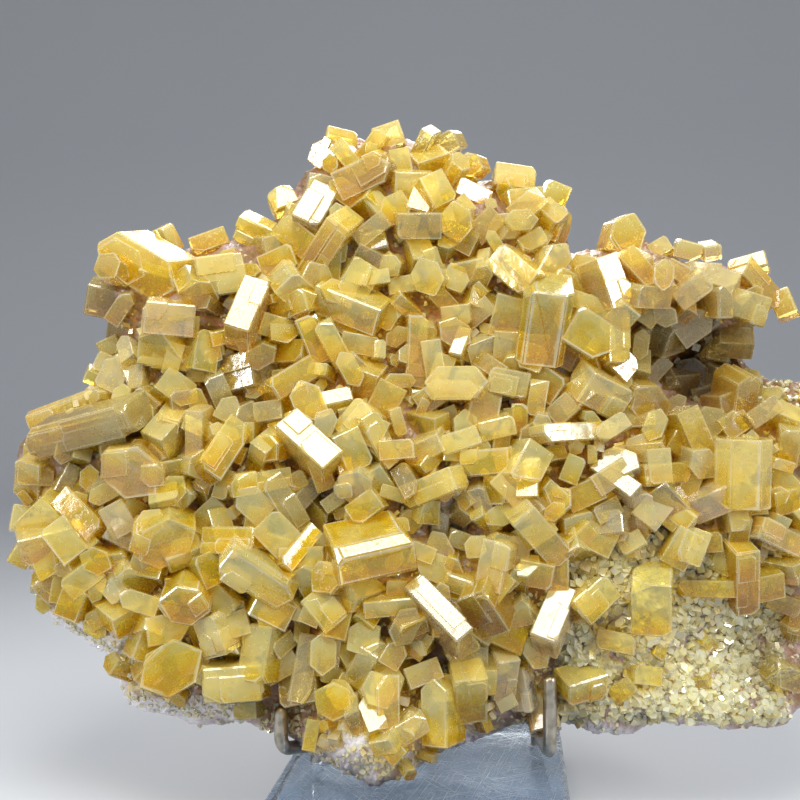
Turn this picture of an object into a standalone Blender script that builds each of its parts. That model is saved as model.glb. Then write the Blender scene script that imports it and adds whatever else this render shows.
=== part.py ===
"""A barite specimen on its display stand.

A plate of pinkish matrix grown over with honey-coloured barite crystals stands on a clear block,
held by two bent prongs in front and a post behind. Lengths are millimetres until a mesh is made.
The specimen is laid out as it is seen from the front: x runs right and z up on a reference
plane through its middle, at the height of the eye, and y is the depth behind that plane.
"""

import math
import random

import bmesh
import bpy
from mathutils import Matrix, Vector, noise
from mathutils.bvhtree import BVHTree
from mathutils.geometry import delaunay_2d_cdt

MM = 0.001

# Where the specimen is seen from
VIEW_TURN = math.radians(6.3)
VIEW_DISTANCE = 450.0
EYE_ABOVE_FLOOR = 189.0

# Stand: the block's plan is centred this far right of and behind the view's middle
BLOCK_WIDTH = 126.0
BLOCK_DEPTH = 150.0
BLOCK_HEIGHT = 24.0
BLOCK_OFFSET = (11.0, 15.0)
BLOCK_EDGE = 1.2
ROD = 6.0
HOLE_CLEARANCE = 0.35
HOLE_DEPTH = 16.0
BEND_RADIUS = 7.0
POINTS_PER_BEND = 4
ROD_CLEARANCE = 0.6
DRILL_SIDES = 24

# Rounded end of a rod: distance along it and width, as shares of its radius
ROD_NOSE = [(0.0, 0.35), (0.1, 0.68), (0.35, 0.9), (1.0, 1.0)]

# Prongs, in the stand's own axes: x, y and height of the top, then x and y of the hole
LEFT_PRONG = (-61.0, -34.6, 55.6, -49.6, -11.2)
RIGHT_PRONG = (55.3, -27.0, 70.5, 51.0, 22.0)
PRONG_FOOT = 37.0
LEG_END = 31.0

# Post behind the specimen: its hole and the height at which it turns forward
POST_HOLE = (-2.0, 60.0)
POST_HEIGHT = 104.0

# Body of the specimen
MIDDLE_DEPTH = 16.0
LEAN = 0.13
LEAN_FROM = -60.0
RIM_HALF = 9.0
FRONT_DOME = 16.0
FRONT_ROUND = 30.0
BACK_DOME = 20.0
BACK_ROUND = 55.0
GRID_STEP = 24.0
GRID_JITTER = 4.0
RIM_STEP = 20.0
LUMP_SIZE = 26.0
LUMP_HEIGHT = 5.0
BACK_LUMPS = 2.0
FRONT_PATTERN = 3.0
BACK_PATTERN = 9.0

# Angles between the faces of a barite crystal, in degrees
PRISM_FROM_LENGTH = 39.1
DOME_FROM_FLAT = 52.7

# The sides of a crystal show beside its broad face, so the face is this much smaller than was read
CRYSTAL_SHARE = 0.92

# Crystals with a larger broad face than this, in square mm, have bevelled sides
BEVELLED_FROM = 450.0
BEVEL_REACH = (0.72, 0.88)

# Share of its width that the point of a hexagonal crystal is cut short by
BLUNT_POINT = 0.12

# How far out the one cut corner of a bar lies
CORNER_REACH = 0.86

# Thickness as a share of the width
THICKNESS = {"rhomb": 0.55, "stub": 1.25, "flash": 0.8}
BAR_THICKNESS = (0.75, 0.95)

# Share of the thickness that stands above the lift, and how far the root goes into the matrix
PROUD_SHARE = 0.6
ROOT = 4.0

# A length seen at a slant is made longer, up to this share of itself
MOST_FORESHORTENED = 0.75

# Tilt of a crystal's broad face, in degrees to the right and upwards
YAW = (-30.0, 30.0)
PITCH = (-28.0, 18.0)

# Tilt that turns a crystal's broad face to flash in light from above the viewer
FLASH_TILT = (4.0, 27.0)

SEED = 14

# The matrix's edge, clockwise from the upper left: x, z on the reference plane
OUTLINE = [
    (-136, 52), (-128, 64), (-112, 60), (-92, 66), (-72, 69), (-58, 74), (-50, 86), (-37, 104),
    (-20, 115), (-2, 116), (18, 111), (34, 97), (58, 95), (70, 84), (74, 64), (90, 64), (106, 70),
    (130, 60), (156, 55), (167, 46), (162, 39), (153, 31), (152, 18), (160, 8), (172, 4), (187, 4),
    (189, -40), (188, -84), (184, -122), (171, -146), (150, -147), (134, -144), (117, -144),
    (99, -148), (76, -144), (58, -144), (45, -147), (31, -151), (18, -156), (4, -167), (-11, -171),
    (-25, -167), (-38, -159), (-45, -152), (-70, -144), (-90, -143), (-110, -139), (-124, -134),
    (-127, -118), (-139, -107), (-162, -92), (-164, -78), (-169, -60), (-170, -42), (-168, -22),
    (-156, -8), (-142, 1), (-132, 8), (-124, 20), (-126, 36),
]

# Lumps and hollows: x, z, half width, half height, rise towards the viewer
SWELLS = [
    (5, 95, 55, 34, 9), (-95, 50, 40, 28, 14), (122, 58, 58, 20, 22), (132, 14, 27, 22, -34),
    (-74, 10, 20, 18, -12), (0, -30, 120, 40, 12), (-60, 70, 14, 14, -6), (-112, -95, 45, 40, 9),
    (5, -85, 60, 26, 10), (-150, -15, 30, 14, 8), (130, -116, 45, 26, -10), (170, -112, 26, 26, -12),
    (-40, -50, 10, 8, -9), (14, -10, 12, 9, -9), (22, -62, 14, 10, -10), (-84, -49, 12, 8, -8),
    (-53, -142, 17, 20, -14), (67, -136, 17, 26, -12), (100, 20, 16, 40, 8),
]

# Swells that carry the edge with them
EDGE_SWELLS = [(-12, -165, 32, 30, 24), (5, 110, 70, 40, -4), (150, 60, 40, 30, 6)]

# Crystals, read by eye: x, z, length, width, turn in degrees, habit, lift off the matrix
UPPER_LEFT = [
    (-119, 60, 46, 22, -30, "hex", 8), (-131, 43, 22, 16, -12, "house", 2),
    (-127, 30, 14, 12, -20, "bar", -2), (-132, 16, 13, 10, -25, "bar", 2),
    (-86, 72, 18, 9, 22, "bar", 0), (-66, 74, 18, 13, -25, "bar", 3), (-80, 57, 22, 18, 10, "stub", 3),
    (-69, 44, 27, 13, 72, "flash", 12), (-104, 36, 24, 16, -4, "bar", 6),
    (-121, 14, 20, 9, -62, "flash", 4), (-106, 20, 26, 12, -6, "bar", 3),
    (-99, 5, 20, 14, -38, "house", 4), (-116, -2, 14, 12, -40, "bar", 4),
    (-85, 24, 16, 14, -30, "rhomb", 3), (-77, 12, 24, 18, 15, "stub", 0),
]
HUMP = [
    (-35, 111, 16, 13, 15, "hex", 3), (-26, 118, 15, 11, -10, "bar", 3),
    (-5, 119, 14, 12, 20, "stub", 2), (-14, 113, 20, 8, 50, "bar", 4),
    (-17, 101, 28, 15, 22, "house", 8), (-38, 89, 22, 14, 62, "flash", 8),
    (-53, 92, 13, 11, 25, "bar", 2), (-48, 74, 20, 13, -40, "bar", 5), (-36, 66, 32, 12, 52, "bar", 10),
    (8, 112, 18, 7, 60, "bar", 3), (18, 114, 16, 10, 25, "bar", 2), (31, 106, 13, 11, -20, "hex", 3),
    (9, 78, 22, 13, 2, "bar", 9), (10, 92, 16, 12, 70, "flash", 5), (27, 86, 14, 10, 40, "bar", 3),
    (52, 101, 20, 12, -8, "bar", 4), (57, 92, 18, 8, 8, "bar", 5), (69, 80, 18, 10, 70, "bar", 2),
    (47, 78, 18, 13, 0, "rhomb", 4), (27, 73, 16, 12, -30, "bar", 3), (-12, 72, 13, 10, 15, "stub", 2),
    (-8, 87, 18, 10, -50, "bar", 2), (60, 72, 14, 9, 30, "bar", 3),
]
UPPER_MIDDLE = [
    (16, 60, 18, 8, -70, "bar", 5), (31, 58, 16, 10, 10, "bar", 4), (50, 59, 24, 14, -45, "bar", 8),
    (70, 61, 24, 13, 60, "house", 7), (-22, 58, 18, 12, -15, "bar", 4),
    (-25, 40, 34, 15, -22, "bar", 7), (1, 52, 14, 9, 10, "bar", 3), (8, 24, 30, 10, 88, "bar", 8),
    (25, 38, 14, 10, 5, "bar", 5), (65, 31, 34, 24, 85, "bar", 12), (87, 29, 26, 20, -32, "house", 9),
    (86, 43, 22, 9, -22, "bar", 7), (99, 30, 29, 10, 89, "bar", 12), (-39, 27, 24, 10, -68, "bar", 8),
    (-30, 25, 24, 10, -62, "bar", 9), (-62, 10, 18, 8, 32, "bar", 5), (-46, 11, 26, 12, 33, "bar", 9),
    (-29, 2, 16, 8, 12, "flash", 7), (25, 8, 30, 16, 0, "hex", 9), (49, 8, 20, 13, -12, "bar", 6),
    (62, 1, 18, 9, 80, "bar", 8), (93, 1, 24, 17, -24, "bar", 6), (113, -3, 24, 18, -50, "hex", 9),
    (-51, 42, 20, 12, 20, "bar", 3), (-52, 32, 16, 13, 42, "rhomb", 4), (-16, 12, 18, 8, -40, "bar", 2),
    (-5, 38, 14, 10, 60, "bar", 3), (38, 22, 16, 11, 20, "bar", 2), (73, 16, 19, 7, -60, "bar", 2),
    (14, 1, 16, 12, 35, "stub", 0), (38, 45, 14, 10, -20, "bar", 2), (-8, 60, 14, 10, 40, "bar", 3),
]
RIGHT_LOBE = [
    (103, 75, 20, 17, 75, "house", 4), (97, 54, 26, 13, -70, "bar", 9), (109, 59, 14, 9, 20, "bar", 6),
    (138, 58, 18, 9, 0, "bar", 5), (156, 62, 17, 8, 15, "bar", 3), (164, 52, 26, 12, -42, "bar", 4),
    (172, 44, 13, 10, -75, "bar", 2), (115, 46, 18, 11, 0, "bar", 9), (132, 49, 18, 11, 38, "bar", 8),
    (147, 44, 16, 9, 92, "bar", 7), (158, 42, 20, 14, -15, "stub", 3), (131, 32, 24, 12, 35, "bar", 2),
    (118, 12, 16, 10, -70, "bar", 2), (144, 22, 13, 10, -10, "bar", 2), (113, 30, 14, 9, -30, "bar", 0),
    (156, 0, 23, 12, 88, "house", 10),
]
MIDDLE = [
    (-41, -17, 32, 14, -40, "flash", 13), (-22, -8, 20, 12, 50, "bar", 7),
    (-8, -18, 28, 10, -65, "bar", 8), (-20, -40, 20, 16, -35, "hex", 6),
    (-60, -22, 16, 13, -45, "rhomb", 7), (-62, -37, 28, 10, 9, "bar", 8),
    (-51, -47, 30, 12, -62, "bar", 7), (-40, -41, 20, 9, 48, "bar", 4),
    (-78, -21, 28, 14, 60, "bar", 9), (-93, -16, 24, 9, 88, "bar", 9),
    (-106, -16, 18, 12, 75, "bar", 4), (-104, -32, 17, 10, 8, "bar", 5),
    (-88, -36, 14, 9, 70, "bar", 5), (-100, -46, 16, 10, 45, "bar", 4), (10, -23, 20, 10, 25, "bar", 6),
    (27, -18, 20, 10, 18, "bar", 8), (44, -13, 18, 10, 14, "bar", 9), (38, -28, 24, 13, 5, "bar", 4),
    (60, -29, 20, 16, 60, "stub", 7), (53, -43, 28, 11, -46, "bar", 8), (12, -40, 27, 12, 25, "bar", 7),
    (70, -46, 19, 13, 40, "hex", 6), (82, -14, 40, 9, 2, "bar", 10), (107, -24, 22, 9, 6, "bar", 5),
    (97, -34, 22, 9, -38, "flash", 7), (121, -33, 24, 10, 2, "bar", 8),
    (110, -50, 17, 10, -76, "bar", 5), (145, -46, 30, 14, 25, "bar", 8),
    (92, -55, 16, 12, 10, "bar", 4), (135, -17, 30, 12, -66, "bar", 10),
    (156, -34, 34, 27, 89, "bar", 10), (175, -23, 20, 10, 90, "bar", 7),
    (175, -46, 14, 12, 10, "stub", 4), (124, -53, 17, 13, -40, "bar", 5),
    (184, -10, 18, 10, 75, "bar", 2), (185, -58, 17, 11, -60, "bar", 2),
    (38, -50, 24, 9, -66, "bar", 4), (2, -36, 16, 10, -60, "bar", 5), (54, -9, 16, 8, 90, "bar", 5),
]
LOWER_LEFT = [
    (-146, -15, 58, 15, 13, "bar", 9), (-151, -4, 46, 12, 18, "bar", 4),
    (-168, -36, 18, 14, 78, "bar", 4), (-121, -33, 32, 24, -44, "rhomb", 10),
    (-146, -51, 27, 12, -40, "bar", 7), (-137, -41, 15, 10, 48, "bar", 4),
    (-127, -54, 17, 13, -62, "bar", 6), (-155, -66, 30, 15, 12, "bar", 5),
    (-106, -65, 33, 22, 24, "rhomb", 11), (-78, -63, 26, 13, 1, "bar", 9),
    (-143, -81, 19, 12, 38, "bar", 7), (-157, -86, 15, 12, -55, "bar", 4),
    (-64, -82, 38, 18, -37, "bar", 12), (-97, -93, 25, 20, -12, "hex", 8),
    (-130, -74, 15, 10, 8, "bar", 4), (-169, -53, 12, 12, 85, "bar", 3),
    (-118, -82, 16, 9, -40, "bar", 3), (-135, -98, 15, 10, 30, "bar", 3),
    (-83, -90, 20, 13, -42, "bar", 5), (-96, -72, 18, 9, 20, "bar", 7),
    (-57, -95, 20, 14, -30, "bar", 7), (-120, -103, 14, 9, -20, "bar", 2),
]
LOWER_MIDDLE = [
    (-44, -66, 22, 9, 50, "bar", 7), (-56, -65, 16, 9, -15, "bar", 5),
    (-10, -74, 38, 22, 11, "bar", 13), (-34, -80, 20, 17, 48, "rhomb", 8),
    (65, -63, 33, 14, -48, "bar", 11), (82, -63, 17, 10, 42, "bar", 7), (41, -75, 25, 14, 80, "bar", 9),
    (61, -79, 17, 13, -10, "bar", 6), (17, -93, 34, 11, -42, "flash", 14),
    (37, -97, 25, 16, -57, "bar", 9), (-4, -94, 27, 9, 5, "bar", 8), (9, -104, 20, 13, 20, "bar", 7),
    (3, -113, 18, 9, 18, "bar", 5), (69, -95, 26, 13, 60, "flash", 9), (89, -90, 22, 14, 38, "bar", 9),
    (113, -95, 27, 19, 95, "bar", 11), (97, -109, 18, 10, -8, "bar", 6),
    (157, -83, 33, 12, 96, "bar", 11), (172, -62, 26, 11, -25, "bar", 8),
    (153, -60, 15, 10, 88, "bar", 6), (138, -85, 26, 8, 2, "bar", 5), (170, -78, 18, 10, -8, "bar", 4),
    (173, -92, 15, 9, -20, "bar", 3), (18, -58, 17, 9, 88, "bar", 3), (132, -66, 18, 13, 70, "stub", 4),
    (26, -84, 15, 9, -15, "bar", 5), (-20, -56, 15, 12, 80, "bar", 3),
    (-34, -94, 20, 14, -50, "bar", 6), (53, -98, 14, 11, 15, "bar", 3),
]
BOTTOM = [
    (-103, -121, 33, 24, 28, "rhomb", 10), (-86, -107, 20, 14, -70, "bar", 7),
    (-66, -114, 27, 15, 82, "bar", 7), (-75, -128, 29, 17, 3, "bar", 8),
    (-43, -121, 33, 11, 80, "bar", 7), (-30, -136, 21, 17, -25, "hex", 9),
    (-5, -137, 27, 12, 90, "bar", 8), (15, -141, 32, 14, 91, "house", 8),
    (32, -136, 25, 16, 95, "bar", 8), (48, -127, 23, 12, 84, "bar", 7),
    (61, -128, 34, 15, 100, "flash", -3), (-18, -121, 20, 11, 62, "bar", 8),
    (-31, -114, 17, 10, 85, "bar", 6), (-8, -119, 22, 10, -72, "bar", 7),
    (28, -112, 17, 10, 30, "bar", 5), (85, -131, 21, 13, 10, "bar", 4),
    (112, -124, 14, 9, -10, "bar", 3), (181, -98, 18, 11, 80, "bar", 3), (176, -126, 17, 12, -20, "bar", 2),
]
LANDMARKS = (
    UPPER_LEFT + HUMP + UPPER_MIDDLE + RIGHT_LOBE + MIDDLE + LOWER_LEFT + LOWER_MIDDLE + BOTTOM
)


def clear_scene():
    for old in list(bpy.data.objects):
        bpy.data.objects.remove(old, do_unlink=True)


def to_row(point):
    """A point of the front view, in mm, to the stand's own axes in metres."""
    turned = Matrix.Rotation(VIEW_TURN, 3, "Z") @ Vector(point)
    shift = Vector((BLOCK_OFFSET[0], BLOCK_OFFSET[1], -EYE_ABOVE_FLOOR))
    return (turned - shift) * MM


def along_sight(x, y, z):
    """A reading on the reference plane, carried along its line of sight to depth y."""
    reach = (VIEW_DISTANCE + y) / VIEW_DISTANCE
    return Vector((x * reach, y, z * reach))


def swell_at(swells, x, z):
    total = 0.0
    for at_x, at_z, half_width, half_height, rise in swells:
        total += rise * math.exp(-((x - at_x) / half_width) ** 2 - ((z - at_z) / half_height) ** 2)
    return total


def edge_distance(x, z):
    """Distance inwards from the matrix's edge, 0 outside it."""
    inside = False
    nearest = 1e9
    last = OUTLINE[-1]
    for point in OUTLINE:
        if (point[1] > z) != (last[1] > z):
            crossing = (last[0] - point[0]) * (z - point[1]) / (last[1] - point[1]) + point[0]
            if x < crossing:
                inside = not inside
        side = Vector((point[0] - last[0], point[1] - last[1]))
        reach = Vector((x - last[0], z - last[1]))
        share = min(max(reach.dot(side) / side.length_squared, 0.0), 1.0)
        nearest = min(nearest, (reach - side * share).length)
        last = point
    return nearest if inside else 0.0


def rounding(distance, radius):
    """A quarter round: 0 at the edge, 1 at the radius and beyond."""
    short = 1.0 - min(distance / radius, 1.0)
    return math.sqrt(1.0 - short * short)


def middle_depth(x, z):
    return MIDDLE_DEPTH + LEAN * (z - LEAN_FROM) - swell_at(EDGE_SWELLS, x, z)


def front_depth(x, z):
    """Depth of the surface that the crystals grow from."""
    inward = rounding(edge_distance(x, z), FRONT_ROUND)
    rise = RIM_HALF + (FRONT_DOME + swell_at(SWELLS, x, z)) * inward
    return middle_depth(x, z) - rise


def back_depth(x, z):
    inward = rounding(edge_distance(x, z), BACK_ROUND)
    return middle_depth(x, z) + RIM_HALF + BACK_DOME * inward


def lump(point, offset):
    return LUMP_HEIGHT * noise.noise(Vector(point) / LUMP_SIZE + Vector((offset, 0.0, 0.0)))


def rim_points():
    """The outline with its long sides cut into shorter ones."""
    points = []
    last = Vector(OUTLINE[-1])
    for corner in OUTLINE:
        corner = Vector(corner)
        parts = max(1, round((corner - last).length / RIM_STEP))
        for step in range(1, parts + 1):
            points.append(last.lerp(corner, step / parts))
        last = corner
    return points


def inner_points():
    """A loose triangular grid of points inside the outline."""
    chance = random.Random(SEED)
    points = []
    left, right = min(x for x, z in OUTLINE), max(x for x, z in OUTLINE)
    low, high = min(z for x, z in OUTLINE), max(z for x, z in OUTLINE)
    row_step = GRID_STEP * math.sin(math.radians(60))
    for row in range(int((high - low) / row_step) + 1):
        for column in range(int((right - left) / GRID_STEP) + 1):
            spot = Vector((left + (column + row % 2 / 2) * GRID_STEP, low + row * row_step))
            spot.x += chance.uniform(-GRID_JITTER, GRID_JITTER)
            spot.y += chance.uniform(-GRID_JITTER, GRID_JITTER)
            if edge_distance(spot.x, spot.y) > GRID_STEP / 2:
                points.append(spot)
    return points


def body_mesh():
    """The matrix: a lumpy front and a broken back, joined by a rough rim."""
    rim = rim_points()
    edges = [(i, (i + 1) % len(rim)) for i in range(len(rim))]
    flat = delaunay_2d_cdt(rim + inner_points(), edges, [], 1, 0.01)
    spots, faces = flat[0], flat[2]
    rim_of = {}
    for new, old in enumerate(flat[3]):
        for index in old:
            if index < len(rim):
                rim_of[index] = new
    bm = bmesh.new()
    front = []
    back = []
    for spot in spots:
        x, z = spot
        rough = lump((x, z, 0.0), FRONT_PATTERN)
        front.append(bm.verts.new(along_sight(x, front_depth(x, z) + rough, z)))
        middle = along_sight(x, middle_depth(x, z), z)
        depth = back_depth(x, z) + BACK_LUMPS * lump((x, z, 0.0), BACK_PATTERN)
        back.append(bm.verts.new((middle.x, depth, middle.z)))
    for face in faces:
        bm.faces.new([front[i] for i in face])
        bm.faces.new([back[i] for i in reversed(face)])
    for a, b in edges:
        a, b = rim_of[a], rim_of[b]
        bm.faces.new([front[a], front[b], back[b], back[a]])
    bmesh.ops.recalc_face_normals(bm, faces=bm.faces)
    bmesh.ops.triangulate(bm, faces=[f for f in bm.faces if len(f.verts) == 4])
    return bm


def facing(turn, yaw, pitch):
    """Axes of a crystal whose length runs at this turn in the view and whose broad face is
    tilted from the viewer by yaw to the right and pitch upwards."""
    yaw, pitch, turn = math.radians(yaw), math.radians(pitch), math.radians(turn)
    broad = Vector((math.sin(yaw) * math.cos(pitch), -math.cos(yaw) * math.cos(pitch), math.sin(pitch)))
    length = Vector((math.cos(turn), 0.0, math.sin(turn)))
    length.y = -(length.x * broad.x + length.z * broad.z) / broad.y
    length.normalize()
    width = broad.cross(length)
    return Matrix((length, width, broad)).transposed()


def slope(angle, first, second):
    """The four face normals at this angle from one axis towards another."""
    near, far = math.cos(math.radians(angle)), math.sin(math.radians(angle))
    return [first * a * near + second * b * far for a in (1, -1) for b in (1, -1)]


def crystal_faces(habit, length, width, thickness, chance):
    """Planes that cut a crystal out of its block: normal and distance from the centre."""
    u, v, w = Vector((1, 0, 0)), Vector((0, 1, 0)), Vector((0, 0, 1))
    cuts = []
    if habit == "rhomb":
        reach = 0.5 * length * math.cos(math.radians(PRISM_FROM_LENGTH))
        cuts += [(normal, reach) for normal in slope(PRISM_FROM_LENGTH, u, v)]
    if habit in ("hex", "house"):
        blunt = BLUNT_POINT * width
        reach = (0.5 * length - blunt) * math.cos(math.radians(PRISM_FROM_LENGTH)) + blunt
        ends = slope(PRISM_FROM_LENGTH, u, v)
        cuts += [(normal, reach) for normal in (ends if habit == "hex" else ends[:2])]
    if habit in ("bar", "flash", "house") and length * width > BEVELLED_FROM:
        share = chance.uniform(*BEVEL_REACH)
        reach = share * (
            0.5 * thickness * math.cos(math.radians(DOME_FROM_FLAT))
            + 0.5 * width * math.sin(math.radians(DOME_FROM_FLAT))
        )
        cuts += [(normal, reach) for normal in slope(DOME_FROM_FLAT, w, v)[:2]]
    if habit == "bar":
        end = slope(PRISM_FROM_LENGTH, u, v)[chance.randrange(4)]
        cuts.append((end, CORNER_REACH * (0.5 * length * abs(end.x) + 0.5 * width * abs(end.y))))
    return cuts


def add_crystal(bm, centre, axes, size, cuts):
    """A block of this size, cut by planes, at its place in the view."""
    piece = bmesh.new()
    bmesh.ops.create_cube(piece, size=1.0)
    bmesh.ops.scale(piece, vec=size, verts=piece.verts)
    for normal, reach in cuts:
        everything = piece.verts[:] + piece.edges[:] + piece.faces[:]
        cut = bmesh.ops.bisect_plane(
            piece, geom=everything, dist=1e-4, plane_co=normal * reach, plane_no=normal, clear_outer=True
        )
        ring = [item for item in cut["geom_cut"] if isinstance(item, bmesh.types.BMEdge)]
        if len(ring) > 2:
            bmesh.ops.contextual_create(piece, geom=ring)
    bmesh.ops.transform(piece, matrix=Matrix.Translation(centre) @ axes.to_4x4(), verts=piece.verts)
    bmesh.ops.recalc_face_normals(piece, faces=piece.faces)
    mesh = bpy.data.meshes.new("piece")
    piece.to_mesh(mesh)
    piece.free()
    bm.from_mesh(mesh)
    bpy.data.meshes.remove(mesh)


def crystal_from_row(bm, row):
    x, z, length, width, turn, habit, lift = row
    chance = random.Random(f"{SEED} {x} {z}")
    if habit == "flash":
        yaw, pitch = FLASH_TILT
    else:
        yaw, pitch = chance.uniform(*YAW), chance.uniform(*PITCH)
    axes = facing(turn, yaw, pitch)
    nearer = CRYSTAL_SHARE * (VIEW_DISTANCE + front_depth(x, z) - lift) / VIEW_DISTANCE
    long_side = nearer * length / max(MOST_FORESHORTENED, math.hypot(axes[0][0], axes[2][0]))
    width *= nearer
    proud = width * THICKNESS.get(habit, chance.uniform(*BAR_THICKNESS))
    top = lift + PROUD_SHARE * proud
    thick = max(proud, top + ROOT)
    centre = along_sight(x, front_depth(x, z) - top, z) - axes.col[2] * thick / 2
    cuts = crystal_faces(habit, long_side, width, thick, chance)
    add_crystal(bm, centre, axes, (long_side, width, thick), cuts)


def crystals_mesh():
    bm = bmesh.new()
    for row in LANDMARKS:
        crystal_from_row(bm, row)
    return bm


def material(name, colour, roughness, metallic=0.0, transmission=0.0):
    made = bpy.data.materials.new(name)
    made.use_nodes = True
    shader = made.node_tree.nodes["Principled BSDF"]
    shader.inputs["Base Color"].default_value = (*colour, 1.0)
    shader.inputs["Roughness"].default_value = roughness
    shader.inputs["Metallic"].default_value = metallic
    shader.inputs["Transmission Weight"].default_value = transmission
    return made


def add_object(name, bm, look=None):
    mesh = bpy.data.meshes.new(name)
    bm.to_mesh(mesh)
    bm.free()
    made = bpy.data.objects.new(name, mesh)
    bpy.context.scene.collection.objects.link(made)
    if look:
        made.data.materials.append(look)
    return made


def apply_modifiers(target):
    """Replace an object's mesh with its evaluated one."""
    graph = bpy.context.evaluated_depsgraph_get()
    mesh = bpy.data.meshes.new_from_object(target.evaluated_get(graph), depsgraph=graph)
    target.modifiers.clear()
    target.data = mesh


def combine(target, other, operation, solver="EXACT"):
    """Union with, or cut by, another object, which is then removed. The exact solver also joins
    crystals that cross each other inside one mesh, and the other one cuts the joined skin."""
    boolean = target.modifiers.new(operation.title(), "BOOLEAN")
    boolean.operation = operation
    boolean.object = other
    boolean.solver = solver
    boolean.use_self = operation == "UNION"
    apply_modifiers(target)
    bpy.data.objects.remove(other, do_unlink=True)


def shell_volume(faces):
    total = 0.0
    for face in faces:
        first = face.verts[0].co
        for a, b in zip(face.verts[1:-1], face.verts[2:]):
            total += first.dot(a.co.cross(b.co)) / 6.0
    return total


def keep_outer_shell(target):
    """Drop sealed hollows between crystals, which a grown specimen doesn't show."""
    bm = bmesh.new()
    bm.from_mesh(target.data)
    shells = []
    seen = set()
    for start in bm.faces:
        if start in seen:
            continue
        shell = []
        waiting = [start]
        seen.add(start)
        while waiting:
            face = waiting.pop()
            shell.append(face)
            for edge in face.edges:
                for other in edge.link_faces:
                    if other not in seen:
                        seen.add(other)
                        waiting.append(other)
        shells.append(shell)
    outer = max(shells, key=shell_volume)
    kept = set(outer)
    bmesh.ops.delete(bm, geom=[face for face in bm.faces if face not in kept], context="FACES")
    bm.to_mesh(target.data)
    bm.free()


def rounded_route(corners):
    """The corners of a bent rod with an arc at each inner one."""
    route = [Vector(corners[0])]
    for before, corner, after in zip(corners, corners[1:], corners[2:]):
        corner = Vector(corner)
        back = (Vector(before) - corner).normalized()
        ahead = (Vector(after) - corner).normalized()
        half = back.angle(ahead) / 2
        start = corner + back * (BEND_RADIUS / math.tan(half))
        end = corner + ahead * (BEND_RADIUS / math.tan(half))
        centre = corner + (back + ahead).normalized() * (BEND_RADIUS / math.sin(half))
        for step in range(POINTS_PER_BEND):
            share = step / (POINTS_PER_BEND - 1)
            outwards = (start - centre).slerp(end - centre, share).normalized()
            route.append(centre + outwards * BEND_RADIUS)
    route.append(route[-1].lerp(Vector(corners[-1]), 0.5))
    route.append(Vector(corners[-1]))
    return route


def rod(name, corners, thickness, look=None):
    """A bent round rod through these corners, in mm, with a rounded first end."""
    route = rounded_route(corners)
    inwards = (route[1] - route[0]).normalized() * thickness / 2
    stations = [(route[0] + inwards * along, width) for along, width in ROD_NOSE]
    stations += [(place, 1.0) for place in route[1:]]
    curve = bpy.data.curves.new(name, "CURVE")
    curve.dimensions = "3D"
    curve.bevel_depth = thickness / 2 * MM
    curve.bevel_resolution = 3
    curve.use_fill_caps = True
    spline = curve.splines.new("POLY")
    spline.points.add(len(stations) - 1)
    for point, (place, width) in zip(spline.points, stations):
        point.co = (*(place * MM), 1.0)
        point.radius = width
    guide = bpy.data.objects.new(name + "_route", curve)
    bpy.context.scene.collection.objects.link(guide)
    graph = bpy.context.evaluated_depsgraph_get()
    mesh = bpy.data.meshes.new_from_object(guide.evaluated_get(graph), depsgraph=graph)
    bm = bmesh.new()
    bm.from_mesh(mesh)
    bmesh.ops.remove_doubles(bm, verts=bm.verts, dist=1e-6)
    bmesh.ops.recalc_face_normals(bm, faces=bm.faces)
    bpy.data.objects.remove(guide, do_unlink=True)
    made = add_object(name, bm, look)
    made.data.shade_smooth()
    made.data.set_sharp_from_angle(angle=math.radians(50))
    return made


def prong_corners(prong):
    """A prong from its rounded top down, in and back over the block, then down into its hole."""
    x, y, top, hole_x, hole_y = prong
    foot = BLOCK_HEIGHT - HOLE_DEPTH + HOLE_CLEARANCE
    return [(x, y, top), (x, y, PRONG_FOOT), (hole_x, hole_y, LEG_END), (hole_x, hole_y, foot)]


def post_corners(cluster):
    """A post that rises behind the specimen and turns forward until it meets its back."""
    x, y = POST_HOLE
    surface = BVHTree.FromObject(cluster, bpy.context.evaluated_depsgraph_get())
    start = Vector((x, y, POST_HEIGHT)) * MM
    touch = surface.ray_cast(start, Vector((0.0, -1.0, 0.0)))[0]
    tip = (x, touch.y / MM + ROD_CLEARANCE, POST_HEIGHT)
    foot = BLOCK_HEIGHT - HOLE_DEPTH + HOLE_CLEARANCE
    return [tip, (x, y, POST_HEIGHT), (x, y, foot)]


def block(look, holes):
    """The clear block, its edges broken, with a blind hole for each rod."""
    bm = bmesh.new()
    bmesh.ops.create_cube(bm, size=1.0)
    bmesh.ops.scale(bm, vec=Vector((BLOCK_WIDTH, BLOCK_DEPTH, BLOCK_HEIGHT)) * MM, verts=bm.verts)
    bmesh.ops.translate(bm, vec=(0, 0, BLOCK_HEIGHT / 2 * MM), verts=bm.verts)
    made = add_object("acrylic_base", bm, look)
    edge = made.modifiers.new("Broken edges", "BEVEL")
    edge.width = BLOCK_EDGE * MM
    edge.segments = 1
    apply_modifiers(made)
    radius = (ROD / 2 + HOLE_CLEARANCE) * MM
    for x, y in holes:
        drill = bmesh.new()
        bmesh.ops.create_cone(
            drill,
            cap_ends=True,
            segments=DRILL_SIDES,
            radius1=radius,
            radius2=radius,
            depth=2 * HOLE_DEPTH * MM,
            matrix=Matrix.Translation(Vector((x, y, BLOCK_HEIGHT)) * MM),
        )
        combine(made, add_object("drill", drill), "DIFFERENCE")
    return made


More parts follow.
